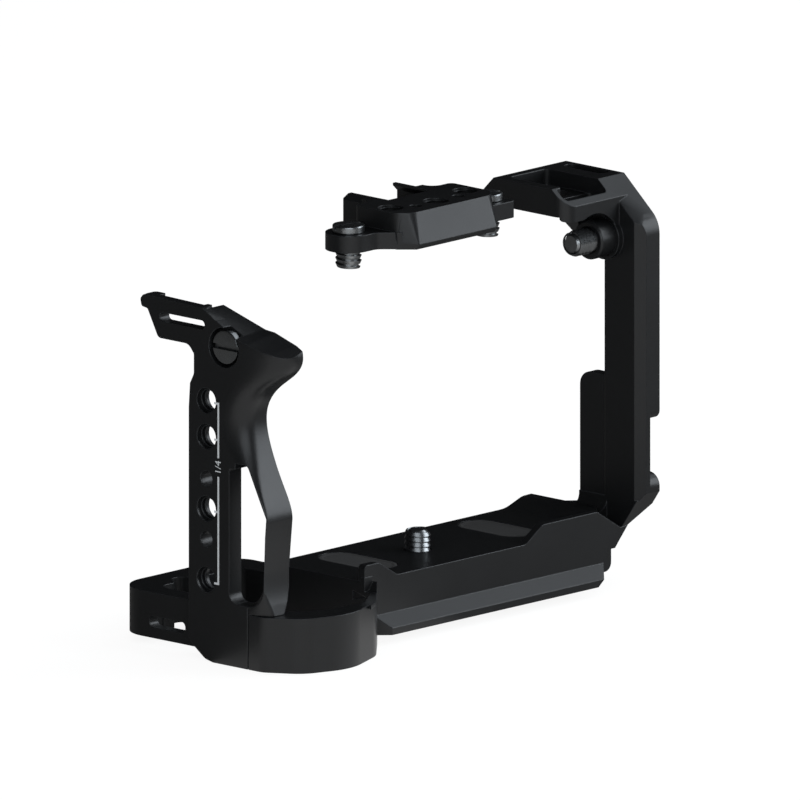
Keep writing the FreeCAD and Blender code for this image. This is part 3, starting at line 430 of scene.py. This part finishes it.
def combined(mesh, tools, operation):
    """A mesh after a boolean operation with each of the tools."""
    base = working_object(mesh.name + "_base", mesh)
    helpers = []
    for tool in tools:
        helper = working_object(tool.name + "_tool", tool)
        helpers.append(helper)
        step = base.modifiers.new(tool.name, "BOOLEAN")
        step.operation, step.solver, step.object = operation, "EXACT", helper
    result = evaluated_mesh(base, mesh.name + "_cut")
    for helper in helpers:
        bpy.data.objects.remove(helper)
    return result


def welded_copy(node):
    """A node's mesh as one closed skin, with nothing but its shape."""
    source = frame["nodes"][node].data
    mesh = bpy.data.meshes.new(node + "_skin")
    mesh.from_pydata([v.co for v in source.vertices], [], [p.vertices for p in source.polygons])
    work = bmesh.new()
    work.from_mesh(mesh)
    bmesh.ops.remove_doubles(work, verts=work.verts, dist=WELD * MM)
    work.to_mesh(mesh)
    work.free()
    return mesh


def evenly_lit(mesh, name, degrees):
    """The mesh with smooth curves, and with normals that keep its flat faces flat."""
    shade_smooth_by_angle(mesh, degrees)
    source = working_object(name + "_source", mesh)
    weighted = source.modifiers.new("Weighted", "WEIGHTED_NORMAL")
    weighted.keep_sharp = True
    return evaluated_mesh(source, name)


def joined_mesh(name, meshes):
    """One mesh from several."""
    work = bmesh.new()
    for mesh in meshes:
        work.from_mesh(mesh)
    result = bpy.data.meshes.new(name)
    work.to_mesh(result)
    work.free()
    return result


# Materials


def new_material(name):
    """Empty node material with a Principled shader; returns the material, its nodes, links and shader."""
    material = bpy.data.materials.new(name)
    material.use_nodes = True
    nodes, links = material.node_tree.nodes, material.node_tree.links
    return material, nodes, links, nodes["Principled BSDF"]


def fine_noise(nodes, links, scale, detail):
    """Noise on the piece's own coordinates."""
    place = nodes.new("ShaderNodeTexCoord")
    noise = nodes.new("ShaderNodeTexNoise")
    noise.inputs["Scale"].default_value = scale
    noise.inputs["Detail"].default_value = detail
    links.new(place.outputs["Object"], noise.inputs["Vector"])
    return noise


def remapped(nodes, links, value, low, high, out_low, out_high):
    """A value moved from one range to another."""
    node = nodes.new("ShaderNodeMapRange")
    node.inputs["From Min"].default_value = low
    node.inputs["From Max"].default_value = high
    node.inputs["To Min"].default_value = out_low
    node.inputs["To Max"].default_value = out_high
    links.new(value, node.inputs["Value"])
    return node.outputs["Result"]


def mixed_colour(nodes, links, factor, first, second):
    """Mix of two colours, each a colour value or a socket."""
    node = nodes.new("ShaderNodeMix")
    node.data_type = "RGBA"
    links.new(factor, node.inputs["Factor"])
    for socket, colour in ((node.inputs[6], first), (node.inputs[7], second)):
        if hasattr(colour, "is_output"):
            links.new(colour, socket)
        else:
            socket.default_value = colour
    return node.outputs[2]


def shades(colour, dark, light):
    """Darker and lighter shade of a colour."""
    return (tuple(c * dark for c in colour[:3]) + (1,),
            tuple(min(1, c * light) for c in colour[:3]) + (1,))


def new_bump(nodes, links, height, strength, distance):
    """Bump node driven by a height, its distance in millimetres."""
    bump = nodes.new("ShaderNodeBump")
    bump.inputs["Strength"].default_value = strength
    bump.inputs["Distance"].default_value = distance * MM
    links.new(height, bump.inputs["Height"])
    return bump


def anodised_metal(settings):
    """Dark blasted and anodised aluminium, with a painted highlight along its rounded edges."""
    material, nodes, links, shader = new_material("anodised_aluminium")
    cloud = fine_noise(nodes, links, 55, 3)
    base = mixed_colour(nodes, links, cloud.outputs["Fac"], *shades(settings.body_colour, 0.88, 1.16))
    rounded = nodes.new("ShaderNodeBevel")
    rounded.samples = 6
    rounded.inputs["Radius"].default_value = settings.edge_radius
    geometry = nodes.new("ShaderNodeNewGeometry")
    facing = nodes.new("ShaderNodeVectorMath")
    facing.operation = "DOT_PRODUCT"
    links.new(rounded.outputs["Normal"], facing.inputs[0])
    links.new(geometry.outputs["Normal"], facing.inputs[1])
    # Painted highlight: where the bevelled normal leaves the true one, the colour turns to the edge
    # highlight colour, broken up by noise
    edge = remapped(nodes, links, facing.outputs["Value"], 0.985, 0.80, 0, 1)
    highlight_breakup = fine_noise(nodes, links, 900, 2)
    painted_edge_highlight = nodes.new("ShaderNodeMath")
    painted_edge_highlight.operation = "MULTIPLY"
    links.new(edge, painted_edge_highlight.inputs[0])
    links.new(remapped(nodes, links, highlight_breakup.outputs["Fac"], 0.35, 0.65, 0.65, 1), painted_edge_highlight.inputs[1])
    links.new(mixed_colour(nodes, links, painted_edge_highlight.outputs["Value"], base, tuple(settings.edge_highlight_colour)),
              shader.inputs["Base Color"])
    grain = fine_noise(nodes, links, 1 / settings.grain, 2)
    bump = new_bump(nodes, links, grain.outputs["Fac"], 0.10, 0.02)
    links.new(rounded.outputs["Normal"], bump.inputs["Normal"])
    links.new(bump.outputs["Normal"], shader.inputs["Normal"])
    links.new(remapped(nodes, links, cloud.outputs["Fac"], 0.3, 0.7, 0.33, 0.39),
              shader.inputs["Roughness"])
    shader.inputs["Metallic"].default_value = 0.0
    shader.inputs["Specular IOR Level"].default_value = 0.42
    return material


def turned_steel(name, colour, roughness):
    """Turned steel with fine tool marks."""
    material, nodes, links, shader = new_material(name)
    marks = fine_noise(nodes, links, 2600, 2)
    cloud = fine_noise(nodes, links, 300, 2)
    links.new(mixed_colour(nodes, links, cloud.outputs["Fac"], *shades(colour, 0.75, 1.2)),
              shader.inputs["Base Color"])
    links.new(remapped(nodes, links, marks.outputs["Fac"], 0.3, 0.7, roughness * 0.85, roughness * 1.2),
              shader.inputs["Roughness"])
    bump = new_bump(nodes, links, marks.outputs["Fac"], 0.12, 0.01)
    links.new(bump.outputs["Normal"], shader.inputs["Normal"])
    shader.inputs["Metallic"].default_value = 1.0
    return material


def pad_rubber(settings):
    """Matte rubber with a fine moulded grain."""
    material, nodes, links, shader = new_material("pad_rubber")
    cloud = fine_noise(nodes, links, 400, 3)
    links.new(mixed_colour(nodes, links, cloud.outputs["Fac"], *shades(settings.rubber_colour, 1, 1.5)),
              shader.inputs["Base Color"])
    place = nodes.new("ShaderNodeTexCoord")
    cells = nodes.new("ShaderNodeTexVoronoi")
    cells.inputs["Scale"].default_value = 3200
    links.new(place.outputs["Object"], cells.inputs["Vector"])
    bump = new_bump(nodes, links, cells.outputs["Distance"], 0.35, 0.04)
    links.new(bump.outputs["Normal"], shader.inputs["Normal"])
    links.new(remapped(nodes, links, cloud.outputs["Fac"], 0.3, 0.7, 0.82, 0.92),
              shader.inputs["Roughness"])
    shader.inputs["Specular IOR Level"].default_value = 0.08
    return material


def printed_ink(settings):
    """White print on the anodised metal, a little uneven."""
    material, nodes, links, shader = new_material("printed_ink")
    cloud = fine_noise(nodes, links, 2400, 3)
    links.new(mixed_colour(nodes, links, cloud.outputs["Fac"], *shades(settings.mark_colour, 0.82, 1)),
              shader.inputs["Base Color"])
    links.new(remapped(nodes, links, cloud.outputs["Fac"], 0.3, 0.7, 0.55, 0.65),
              shader.inputs["Roughness"])
    return material


# Geometry Nodes


def new_tree(title, sizes):
    """Tree with a geometry, named sizes and a material as inputs; returns it, its inputs and link."""
    tree = bpy.data.node_groups.new(title, "GeometryNodeTree")
    add = tree.interface.new_socket
    add(name="Geometry", in_out="INPUT", socket_type="NodeSocketGeometry")
    for name, default in sizes:
        kind = "NodeSocketInt" if isinstance(default, int) else "NodeSocketFloat"
        add(name=name, in_out="INPUT", socket_type=kind).default_value = default
    add(name="Material", in_out="INPUT", socket_type="NodeSocketMaterial")
    add(name="Geometry", in_out="OUTPUT", socket_type="NodeSocketGeometry")
    return tree, tree.nodes.new("NodeGroupInput").outputs, tree.links.new


def painted_output(tree, inputs, geometry):
    """Makes the geometry real, paints it and puts it out."""
    link = tree.links.new
    real = tree.nodes.new("GeometryNodeRealizeInstances")
    link(geometry, real.inputs["Geometry"])
    paint = tree.nodes.new("GeometryNodeSetMaterial")
    link(real.outputs["Geometry"], paint.inputs["Geometry"])
    link(inputs["Material"], paint.inputs["Material"])
    link(paint.outputs["Geometry"], tree.nodes.new("NodeGroupOutput").inputs["Geometry"])


def math_node(tree, operation, first, second):
    """Math node on two sockets or numbers."""
    node = tree.nodes.new("ShaderNodeMath")
    node.operation = operation
    for socket, value in zip(node.inputs, (first, second)):
        if hasattr(value, "is_output"):
            tree.links.new(value, socket)
        else:
            socket.default_value = value
    return node.outputs[0]


def thread_tree():
    """Ridge of a screw thread wound round Z from height 0, joined to the piece it is on. Where the
    crest is inside the root, the thread is that of a hole."""
    tree, inputs, link = new_tree("Screw thread", (
        ("Root radius", 2.5 * MM), ("Crest radius", 3.16 * MM), ("Pitch", 1.27 * MM),
        ("Length", 8 * MM), ("Crest width", 0.26 * MM), ("Foot width", 1.02 * MM),
        ("Profile turn", 0.0), ("Steps per turn", 40)))
    depth = math_node(tree, "SUBTRACT", inputs["Crest radius"], inputs["Root radius"])
    overlap = 1.3
    sunk = math_node(tree, "MULTIPLY", depth, overlap)
    height = math_node(tree, "ABSOLUTE", sunk, 0)
    middle = math_node(tree, "SUBTRACT", inputs["Crest radius"],
                       math_node(tree, "MULTIPLY", sunk, 0.5))
    spiral = tree.nodes.new("GeometryNodeCurveSpiral")
    link(inputs["Steps per turn"], spiral.inputs["Resolution"])
    link(math_node(tree, "DIVIDE", inputs["Length"], inputs["Pitch"]), spiral.inputs["Rotations"])
    link(middle, spiral.inputs["Start Radius"])
    link(middle, spiral.inputs["End Radius"])
    link(inputs["Length"], spiral.inputs["Height"])
    upright = tree.nodes.new("GeometryNodeSetCurveNormal")
    upright.mode = "Z_UP"
    link(spiral.outputs["Curve"], upright.inputs["Curve"])
    profile = tree.nodes.new("GeometryNodeCurvePrimitiveQuadrilateral")
    profile.mode = "TRAPEZOID"
    link(inputs["Foot width"], profile.inputs["Bottom Width"])
    link(inputs["Crest width"], profile.inputs["Top Width"])
    link(height, profile.inputs["Height"])
    profile.inputs["Offset"].default_value = 0
    turn = tree.nodes.new("GeometryNodeTransform")
    spin = tree.nodes.new("ShaderNodeCombineXYZ")
    link(inputs["Profile turn"], spin.inputs["Z"])
    link(spin.outputs["Vector"], turn.inputs["Rotation"])
    link(profile.outputs["Curve"], turn.inputs["Geometry"])
    along = tree.nodes.new("GeometryNodeSplineParameter")
    fade = tree.nodes.new("ShaderNodeMapRange")
    link(along.outputs["Length"], fade.inputs["Value"])
    run_in, thin_start = 9 * MM, 0.25
    fade.inputs["From Max"].default_value = run_in
    fade.inputs["To Min"].default_value = thin_start
    ridge = tree.nodes.new("GeometryNodeCurveToMesh")
    link(upright.outputs["Curve"], ridge.inputs["Curve"])
    link(turn.outputs["Geometry"], ridge.inputs["Profile Curve"])
    ridge.inputs["Fill Caps"].default_value = True
    link(fade.outputs["Result"], ridge.inputs["Scale"])
    both = tree.nodes.new("GeometryNodeJoinGeometry")
    link(ridge.outputs["Mesh"], both.inputs["Geometry"])
    link(inputs["Geometry"], both.inputs["Geometry"])
    painted_output(tree, inputs, both.outputs["Geometry"])
    return tree


def tick_tree():
    """Short printed lines at the points of a mesh."""
    tree, inputs, link = new_tree("Printed ticks", (
        ("Length", 1.1 * MM), ("Width", 0.55 * MM), ("Thickness", 0.03 * MM)))
    size = tree.nodes.new("ShaderNodeCombineXYZ")
    link(inputs["Thickness"], size.inputs["X"])
    link(inputs["Length"], size.inputs["Y"])
    link(inputs["Width"], size.inputs["Z"])
    tick = tree.nodes.new("GeometryNodeMeshCube")
    link(size.outputs["Vector"], tick.inputs["Size"])
    spread = tree.nodes.new("GeometryNodeInstanceOnPoints")
    link(inputs["Geometry"], spread.inputs["Points"])
    link(tick.outputs["Mesh"], spread.inputs["Instance"])
    painted_output(tree, inputs, spread.outputs["Instances"])
    return tree


def add_tree(source, tree, values):
    """Puts a tree on an object and sets its inputs by their names."""
    modifier = source.modifiers.new(tree.name, "NODES")
    modifier.node_group = tree
    sockets = {item.name: item.identifier for item in tree.interface.items_tree
               if item.item_type == "SOCKET" and item.in_out == "INPUT"}
    for name, value in values.items():
        modifier[sockets[name]] = value
    return modifier


# Pieces


def screw_place(node, way):
    """Matrix from a screw built along +Z, its head's end at 0, to its CAD place, and its length."""
    low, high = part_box(node)
    middle = (low + high) / 2
    axis = "XYZ".index(way[1])
    foot = middle.copy()
    foot[axis] = low[axis] if way[0] == "+" else high[axis]
    return Matrix.Translation(foot) @ TURNS[way], high[axis] - low[axis]


def screw_sizes(node, way):
    """Head radius and head height of a screw, read from its CAD node."""
    low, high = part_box(node)
    axis = "XYZ".index(way[1])
    across = (axis + 1) % 3
    radius = (high[across] - low[across]) / 2
    rim = [v.co[axis] for v in frame["nodes"][node].data.vertices
           if abs(v.co[across] - (high[across] + low[across]) / 2) > radius * 0.9]
    inner = min(rim) if way[0] == "-" else max(rim)
    outer = high[axis] if way[0] == "-" else low[axis]
    return radius, abs(inner - outer)


class CAGE_OT_metal(Operator):
    """Gives every CAD piece its metal or rubber"""

    bl_idname = "cage.metal"
    bl_label = "Metal and rubber"

    def execute(self, context):
        settings = context.scene.cage_metal
        made = {"body_metal": anodised_metal(settings), "pad_rubber": pad_rubber(settings),
                "screw_steel": turned_steel("turned_steel", settings.steel_colour, 0.30),
                "clip_steel": turned_steel("spring_steel", settings.clip_colour, 0.38)}
        slots = {part["node"]: part["material_slot"] for part in frame["record"]["subparts"]}
        for name, node in frame["nodes"].items():
            node.data.materials.clear()
            node.data.materials.append(made[slots[name]])
        return {"FINISHED"}


class CAGE_OT_machining(Operator):
    """Cuts the finer corners of the frame, the grip plate and the top plate"""

    bl_idname = "cage.machining"
    bl_label = "Machined corners"

    def execute(self, context):
        metal = bpy.data.materials["anodised_aluminium"]
        seam = slab_mesh("seam", SEAM, "z", -20, -1)
        self.dress("cage_frame", "cage", metal, self.frame_cutters() + [seam])
        self.dress("grip_side_plate", "cage", metal, [seam.copy()])
        self.dress("top_plate", "top_plate", metal, self.top_cutters())
        collar = turned_mesh("screw_collar", [(r * MM, h * MM) for r, h in COLLAR], ring=True)
        collar.transform(Matrix.Rotation(-math.pi / 2, 4, "Y"))
        collar.transform(Matrix.Translation(Vector((BOSS_FACE, *SCREW_YZ)) * MM))
        collar.materials.append(metal)
        shade_smooth_by_angle(collar, 30)
        new_object("screw_collar", collar, "cage")
        return {"FINISHED"}

    def dress(self, node, body, metal, cutters):
        """Puts a cut copy of a node in its place."""
        mesh = combined(welded_copy(node), cutters, "DIFFERENCE")
        mesh = evenly_lit(mesh, node + "_machined", SMOOTH_BELOW)
        mesh.materials.clear()
        mesh.materials.append(metal)
        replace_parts(new_object(node + "_machined", mesh, body), node)

    def frame_cutters(self):
        """What the foot of the post, the ring and the arm lose."""
        start = [Vector((x, 0, z)) + Vector(FOOT_START) for x, z in FOOT_CORNER]
        foot = lofted_mesh("foot_corner", start, [p + Vector(FOOT_RUN) for p in start])
        foot = combined(foot, [box_mesh("foot_limits", *FOOT_LIMITS)], "INTERSECT")
        left, front, radius = ARM_CORNER
        arc = corner_arc((left, 0), (left, front), (60, front), radius)
        corner = [tuple(p) for p in arc] + [(arc[-1].x, front - 1), (left - 1, front - 1),
                                            (left - 1, arc[0].y)]
        return [foot, slab_mesh("ring_opening", RING_OPENING, "z", -20, 5),
                slab_mesh("rim_rise", RIM_RISE, "y", -35, -15.95),
                slab_mesh("arrow", ARROW, "x", -36.5, -35.6),
                slab_mesh("arm_corner", corner, "z", 60, 90),
                slab_mesh("arm_notch", ARM_NOTCH, "z", 70, 84),
                slab_mesh("post_chamfer", POST_CHAMFER, "z", 60, 80)]

    def top_cutters(self):
        """The slivers between the sharp and the rounded front corners of the top plate."""
        cutters = []
        for levels in TOP_CORNERS:
            for side in (-1, 1):
                rings = []
                for corner, radius, z in zip(levels, TOP_CORNER_R, TOP_CORNER_Z):
                    before, here, after = [Vector((side * x, y)) for x, y in corner]
                    outward = (2 * here - before - after).normalized() * 0.6
                    outline = corner_arc(before, here, after, radius) + [here + outward]
                    rings.append(in_space(outline, "z", z))
                cutters.append(lofted_mesh("top_corner", *rings))
        return cutters


class CAGE_OT_threads(Operator):
    """Winds the threads of the quarter-inch holes"""

    bl_idname = "cage.threads"
    bl_label = "Threaded holes"

    def execute(self, context):
        sizes = context.scene.cage_thread
        tree = bpy.data.node_groups["Screw thread"]
        metal = bpy.data.materials["anodised_aluminium"]
        margin = sizes.pitch * 0.4
        wound = {}
        for body, way, place, depth in THREADED_HOLES:
            source = working_object("hole_thread_source", bpy.data.meshes.new("hole_thread"))
            add_tree(source, tree, {
                "Root radius": sizes.hole_root, "Crest radius": sizes.hole_crest,
                "Pitch": sizes.pitch, "Length": depth * MM - 2 * margin,
                "Crest width": sizes.crest_width, "Foot width": sizes.foot_width,
                "Steps per turn": sizes.steps, "Profile turn": math.pi, "Material": metal})
            mesh = evaluated_mesh(source, "hole_thread")
            mesh.transform(Matrix.Translation((0, 0, margin)))
            mesh.transform(TURNS[way])
            mesh.transform(Matrix.Translation(Vector(place) * MM))
            wound.setdefault(body, []).append(mesh)
        for body, meshes in wound.items():
            name = body + "_hole_threads"
            mesh = joined_mesh(name, meshes)
            mesh.materials.append(metal)
            shade_smooth_by_angle(mesh, 32)
            new_object(name, mesh, body)
        return {"FINISHED"}


class CAGE_OT_screws(Operator):
    """Builds the captive camera screws with a real thread, a slotted head and softened edges"""

    bl_idname = "cage.screws"
    bl_label = "Captive screws"

    def execute(self, context):
        sizes = context.scene.cage_thread
        steel = bpy.data.materials["turned_steel"]
        tree = thread_tree()
        for node, body, way, slot_turn in SCREWS:
            place, length = screw_place(node, way)
            radius, thick = screw_sizes(node, way)
            edge, root, crest = HEAD_EDGE * MM, sizes.root_radius, sizes.crest_radius
            tip = crest - root
            profile = [(0, 0), (radius - edge * 2, 0), (radius - edge * 0.6, edge * 0.25),
                       (radius - edge * 0.15, edge * 0.8), (radius, edge * 1.8),
                       (radius, thick - edge), (radius - edge, thick), (root, thick),
                       (root, length - tip * 0.9), (root - tip * 0.7, length), (0, length)]
            reach, half = radius * 1.2, sizes.slot_width / 2
            blade = prism_mesh(node + "_slot", [(-reach, -half), (reach, -half), (reach, half),
                                                (-reach, half)], -1 * MM, sizes.slot_depth)
            blade.transform(Matrix.Rotation(math.radians(slot_turn), 4, "Z"))
            head = combined(turned_mesh(node + "_head", profile), [blade], "DIFFERENCE")
            head.transform(Matrix.Translation((0, 0, -length)))
            head.transform(Matrix.Rotation(math.pi, 4, "X"))
            source = working_object(node + "_source", head)
            add_tree(source, tree, {
                "Root radius": root, "Crest radius": crest, "Pitch": sizes.pitch,
                "Length": length - thick - tip * TIP_SHARE, "Crest width": sizes.crest_width,
                "Foot width": sizes.foot_width, "Steps per turn": sizes.steps,
                "Material": steel})
            mesh = evaluated_mesh(source, node + "_threaded")
            mesh.transform(Matrix.Rotation(math.pi, 4, "X"))
            mesh.transform(Matrix.Translation((0, 0, length)))
            mesh.transform(place)
            shade_smooth_by_angle(mesh, 32)
            piece = new_object(node + "_threaded", mesh, body)
            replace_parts(piece, node)
        return {"FINISHED"}


class CAGE_OT_pads(Operator):
    """Builds the two seat pads with soft edges and a shallow sunk middle"""

    bl_idname = "cage.pads"
    bl_label = "Seat pads"

    def execute(self, context):
        rubber = bpy.data.materials["pad_rubber"]
        for node in ("seat_pad_left", "seat_pad_right"):
            low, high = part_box(node)
            centre = (low + high) / 2
            half = (high.x - low.x) / 2
            straight = (high.y - low.y) / 2 - half
            work = bmesh.new()
            rings = []
            for inset, side, height in PAD_SKIN:
                z = (low.z if side == "low" else high.z) + height * MM
                radius = half - inset * MM
                ring = []
                for i in range(PAD_STEPS):
                    angle = math.tau * (i + 0.5) / PAD_STEPS
                    shift = math.copysign(straight, math.sin(angle))
                    ring.append(work.verts.new((centre.x + radius * math.cos(angle),
                                                centre.y + shift + radius * math.sin(angle), z)))
                rings.append(ring)
            for lower, upper in zip(rings, rings[1:]):
                band(work, lower, upper)
            work.faces.new(list(reversed(rings[0])))
            work.faces.new(rings[-1])
            mesh = closed_mesh(work, node + "_moulded")
            mesh.materials.append(rubber)
            shade_smooth_by_angle(mesh, 40)
            piece = new_object(node + "_moulded", mesh, "cage")
            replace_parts(piece, node)
        return {"FINISHED"}


class CAGE_OT_marks(Operator):
    """Prints the line, the ticks and the thread size beside the threaded holes"""

    bl_idname = "cage.marks"
    bl_label = "Printed marks"

    def execute(self, context):
        sizes = context.scene.cage_marks
        ink = printed_ink(context.scene.cage_metal)
        low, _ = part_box("grip_side_plate")
        face = low.x
        half = sizes.line_width / 2
        left, right = sizes.line_y - half, sizes.line_y + half
        outline = [(face - sizes.ink, left), (face, left), (face, right), (face - sizes.ink, right)]
        meshes = [prism_mesh("bar", outline, low_end * MM - half, high_end * MM + half)
                  for low_end, high_end in LINE_SPANS]
        lines = joined_mesh("scale_lines", meshes)
        lines.materials.append(ink)
        new_object("scale_lines", lines, "cage")
        points = bpy.data.meshes.new("tick_points")
        middle = sizes.line_y + half + sizes.tick_length / 2
        points.from_pydata([(face - sizes.ink / 2, middle, z * MM) for z in TICK_HEIGHTS], [], [])
        source = working_object("tick_points", points)
        add_tree(source, tick_tree(), {"Length": sizes.tick_length, "Width": sizes.line_width,
                                       "Thickness": sizes.ink, "Material": ink})
        new_object("scale_ticks", evaluated_mesh(source, "scale_ticks"), "cage")
        words = bpy.data.curves.new("thread_size", "FONT")
        words.body = sizes.figures
        words.size = sizes.figure_height
        words.extrude = sizes.ink / 2
        words.align_x, words.align_y = "CENTER", "CENTER"
        flat = evaluated_mesh(working_object("thread_size", words), "thread_size_print")
        upright = Matrix(((0, 0, -1, 0), (0, 1, 0, 0), (1, 0, 0, 0), (0, 0, 0, 1)))
        flat.transform(upright)
        flat.transform(Matrix.Translation((face - sizes.ink / 2, sizes.line_y, FIGURE_Z * MM)))
        flat.materials.clear()
        flat.materials.append(ink)
        new_object("thread_size_print", flat, "cage")
        return {"FINISHED"}


class CAGE_OT_stage(Operator):
    """Sets up the camera, the lamps, the white floor and the dark cards round it"""

    bl_idname = "cage.stage"
    bl_label = "Stage"

    def execute(self, context):
        settings = context.scene.cage_stage
        scene = context.scene
        scene.view_settings.view_transform = "Standard"
        back = Vector((math.sin(settings.turn) * math.cos(settings.height),
                       -math.cos(settings.turn) * math.cos(settings.height),
                       math.sin(settings.height)))
        right = Vector((math.cos(settings.turn), math.sin(settings.turn), 0))
        up = back.cross(right)
        camera = bpy.data.objects.new("camera", bpy.data.cameras.new("camera"))
        scene.collection.objects.link(camera)
        camera.data.type = "ORTHO"
        camera.data.ortho_scale = settings.width
        camera.data.clip_start, camera.data.clip_end = 0.01, 20
        camera.location = (right * settings.aim_right + up * settings.aim_up
                           + back * CAMERA_DISTANCE)
        camera.rotation_mode = "QUATERNION"
        camera.rotation_quaternion = (-back).to_track_quat("-Z", "Y")
        scene.camera = camera
        self.floor(CAD_LOW.z - 0.1 * MM)
        self.world(scene, settings.fill)
        self.cards()
        for name, place, size, power in LAMPS:
            self.lamp(name, place, size, getattr(settings, power), settings.lamp_colour)
        return {"FINISHED"}

    def lamp(self, name, place, size, power, colour):
        """Area lamp that looks at the middle of the cage."""
        lamp = bpy.data.objects.new(name, bpy.data.lights.new(name, "AREA"))
        bpy.context.scene.collection.objects.link(lamp)
        lamp.data.shape = "RECTANGLE"
        lamp.data.size, lamp.data.size_y = size
        lamp.data.energy = power
        lamp.data.color = colour
        lamp.location = place
        aim = Vector(LAMP_AIM) - Vector(place)
        lamp.rotation_mode = "QUATERNION"
        lamp.rotation_quaternion = aim.to_track_quat("-Z", "Y")

    def seen(self, nodes, links):
        """1 where the camera, a reflection or glass looks, else 0."""
        path = nodes.new("ShaderNodeLightPath")
        total = path.outputs["Is Camera Ray"]
        for name in ("Is Glossy Ray", "Is Transmission Ray"):
            node = nodes.new("ShaderNodeMath")
            node.operation = "MAXIMUM"
            links.new(total, node.inputs[0])
            links.new(path.outputs[name], node.inputs[1])
            total = node.outputs[0]
        return total

    def world(self, scene, fill):
        """White where it is seen, and an even grey light for the rest."""
        world = bpy.data.worlds.new("studio")
        scene.world = world
        world.use_nodes = True
        nodes, links = world.node_tree.nodes, world.node_tree.links
        light = nodes["Background"]
        light.inputs["Color"].default_value = (1, 1, 1, 1)
        strength = nodes.new("ShaderNodeMapRange")
        strength.inputs["To Min"].default_value = fill
        strength.inputs["To Max"].default_value = 1
        links.new(self.seen(nodes, links), strength.inputs["Value"])
        links.new(strength.outputs["Result"], light.inputs["Strength"])

    def floor(self, level):
        """Pale floor that keeps a soft shadow."""
        mesh = bpy.data.meshes.new("floor")
        corners = [(x * FLOOR_HALF, y * FLOOR_HALF, level) for x, y in SQUARE]
        mesh.from_pydata(corners, [], [(0, 1, 2, 3)])
        floor = bpy.data.objects.new("floor", mesh)
        bpy.context.scene.collection.objects.link(floor)
        material, nodes, links, shader = new_material("floor")
        nodes.remove(shader)
        plain = nodes.new("ShaderNodeBsdfDiffuse")
        plain.inputs["Color"].default_value = (0.8, 0.8, 0.8, 1)
        soft = nodes.new("ShaderNodeBsdfDiffuse")
        soft.inputs["Color"].default_value = (0.16, 0.16, 0.16, 1)
        glow = nodes.new("ShaderNodeEmission")
        glow.inputs["Strength"].default_value = 0.90
        both = nodes.new("ShaderNodeAddShader")
        links.new(soft.outputs["BSDF"], both.inputs[0])
        links.new(glow.outputs["Emission"], both.inputs[1])
        mix = nodes.new("ShaderNodeMixShader")
        links.new(self.seen(nodes, links), mix.inputs["Fac"])
        links.new(plain.outputs["BSDF"], mix.inputs[1])
        links.new(both.outputs["Shader"], mix.inputs[2])
        links.new(mix.outputs["Shader"], nodes["Material Output"].inputs["Surface"])
        mesh.materials.append(material)

    def cards(self):
        """Dark walls with a lid, and glowing cards on the floor, which only reflections show."""
        material, _, _, shader = new_material("dark_card")
        shader.inputs["Base Color"].default_value = (0.02, 0.02, 0.021, 1)
        shader.inputs["Roughness"].default_value = 1
        shader.inputs["Specular IOR Level"].default_value = 0
        low = CAD_LOW.z - 0.05 * MM
        for name, (left, right), (front, back), glow in GLOWS:
            self.glowing_card(name, [(left, front, low), (right, front, low), (right, back, low),
                                     (left, back, low)], glow)
        points = [(x * CARD_HALF, y * CARD_HALF, z) for z in (low, CARD_TOP) for x, y in SQUARE]
        mesh = bpy.data.meshes.new("dark_cards")
        mesh.from_pydata(points, [], [(0, 1, 5, 4), (1, 2, 6, 5), (2, 3, 7, 6), (3, 0, 4, 7),
                                      (4, 5, 6, 7)])
        mesh.materials.append(material)
        self.reflected_only(bpy.data.objects.new("dark_cards", mesh))

    def glowing_card(self, name, corners, glow):
        """Card on the floor with an even glow, which only reflections see."""
        material, nodes, links, shader = new_material(name)
        nodes.remove(shader)
        light = nodes.new("ShaderNodeEmission")
        light.inputs["Strength"].default_value = glow
        links.new(light.outputs["Emission"], nodes["Material Output"].inputs["Surface"])
        mesh = bpy.data.meshes.new(name)
        mesh.from_pydata(corners, [], [(0, 1, 2, 3)])
        mesh.materials.append(material)
        self.reflected_only(bpy.data.objects.new(name, mesh))

    def reflected_only(self, card):
        """Puts a card on the stage where only glossy rays meet it."""
        bpy.context.scene.collection.objects.link(card)
        card.visible_camera = False
        card.visible_diffuse = False
        card.visible_shadow = False


class CAGE_PT_panel(Panel):
    """Lists the steps that dress the cage"""

    bl_idname = "CAGE_PT_panel"
    bl_label = "Camera cage"
    bl_space_type = "VIEW_3D"
    bl_region_type = "UI"
    bl_category = "Camera cage"

    def draw(self, context):
        for operator in OPERATORS:
            self.layout.operator(operator.bl_idname)
        for name in SETTINGS:
            group = getattr(context.scene, name)
            column = self.layout.box().column()
            for key in group.__annotations__:
                column.prop(group, key)


OPERATORS = (CAGE_OT_metal, CAGE_OT_machining, CAGE_OT_screws, CAGE_OT_threads, CAGE_OT_pads,
             CAGE_OT_marks, CAGE_OT_stage)
SETTINGS = {"cage_metal": MetalSettings, "cage_thread": ThreadSettings,
            "cage_marks": MarkSettings, "cage_stage": StageSettings}


def register():
    for group in SETTINGS.values():
        bpy.utils.register_class(group)
    for name, group in SETTINGS.items():
        setattr(bpy.types.Scene, name, PointerProperty(type=group))
    for operator in OPERATORS:
        bpy.utils.register_class(operator)
    bpy.utils.register_class(CAGE_PT_panel)


def unregister():
    bpy.utils.unregister_class(CAGE_PT_panel)
    for operator in reversed(OPERATORS):
        bpy.utils.unregister_class(operator)
    for name, group in SETTINGS.items():
        delattr(bpy.types.Scene, name)
        bpy.utils.unregister_class(group)


def main():
    """Dresses the cage."""
    register()
    for step in (bpy.ops.cage.metal, bpy.ops.cage.machining, bpy.ops.cage.screws,
                 bpy.ops.cage.threads, bpy.ops.cage.pads, bpy.ops.cage.marks, bpy.ops.cage.stage):
        step()


if __name__ == "__main__":
    main()
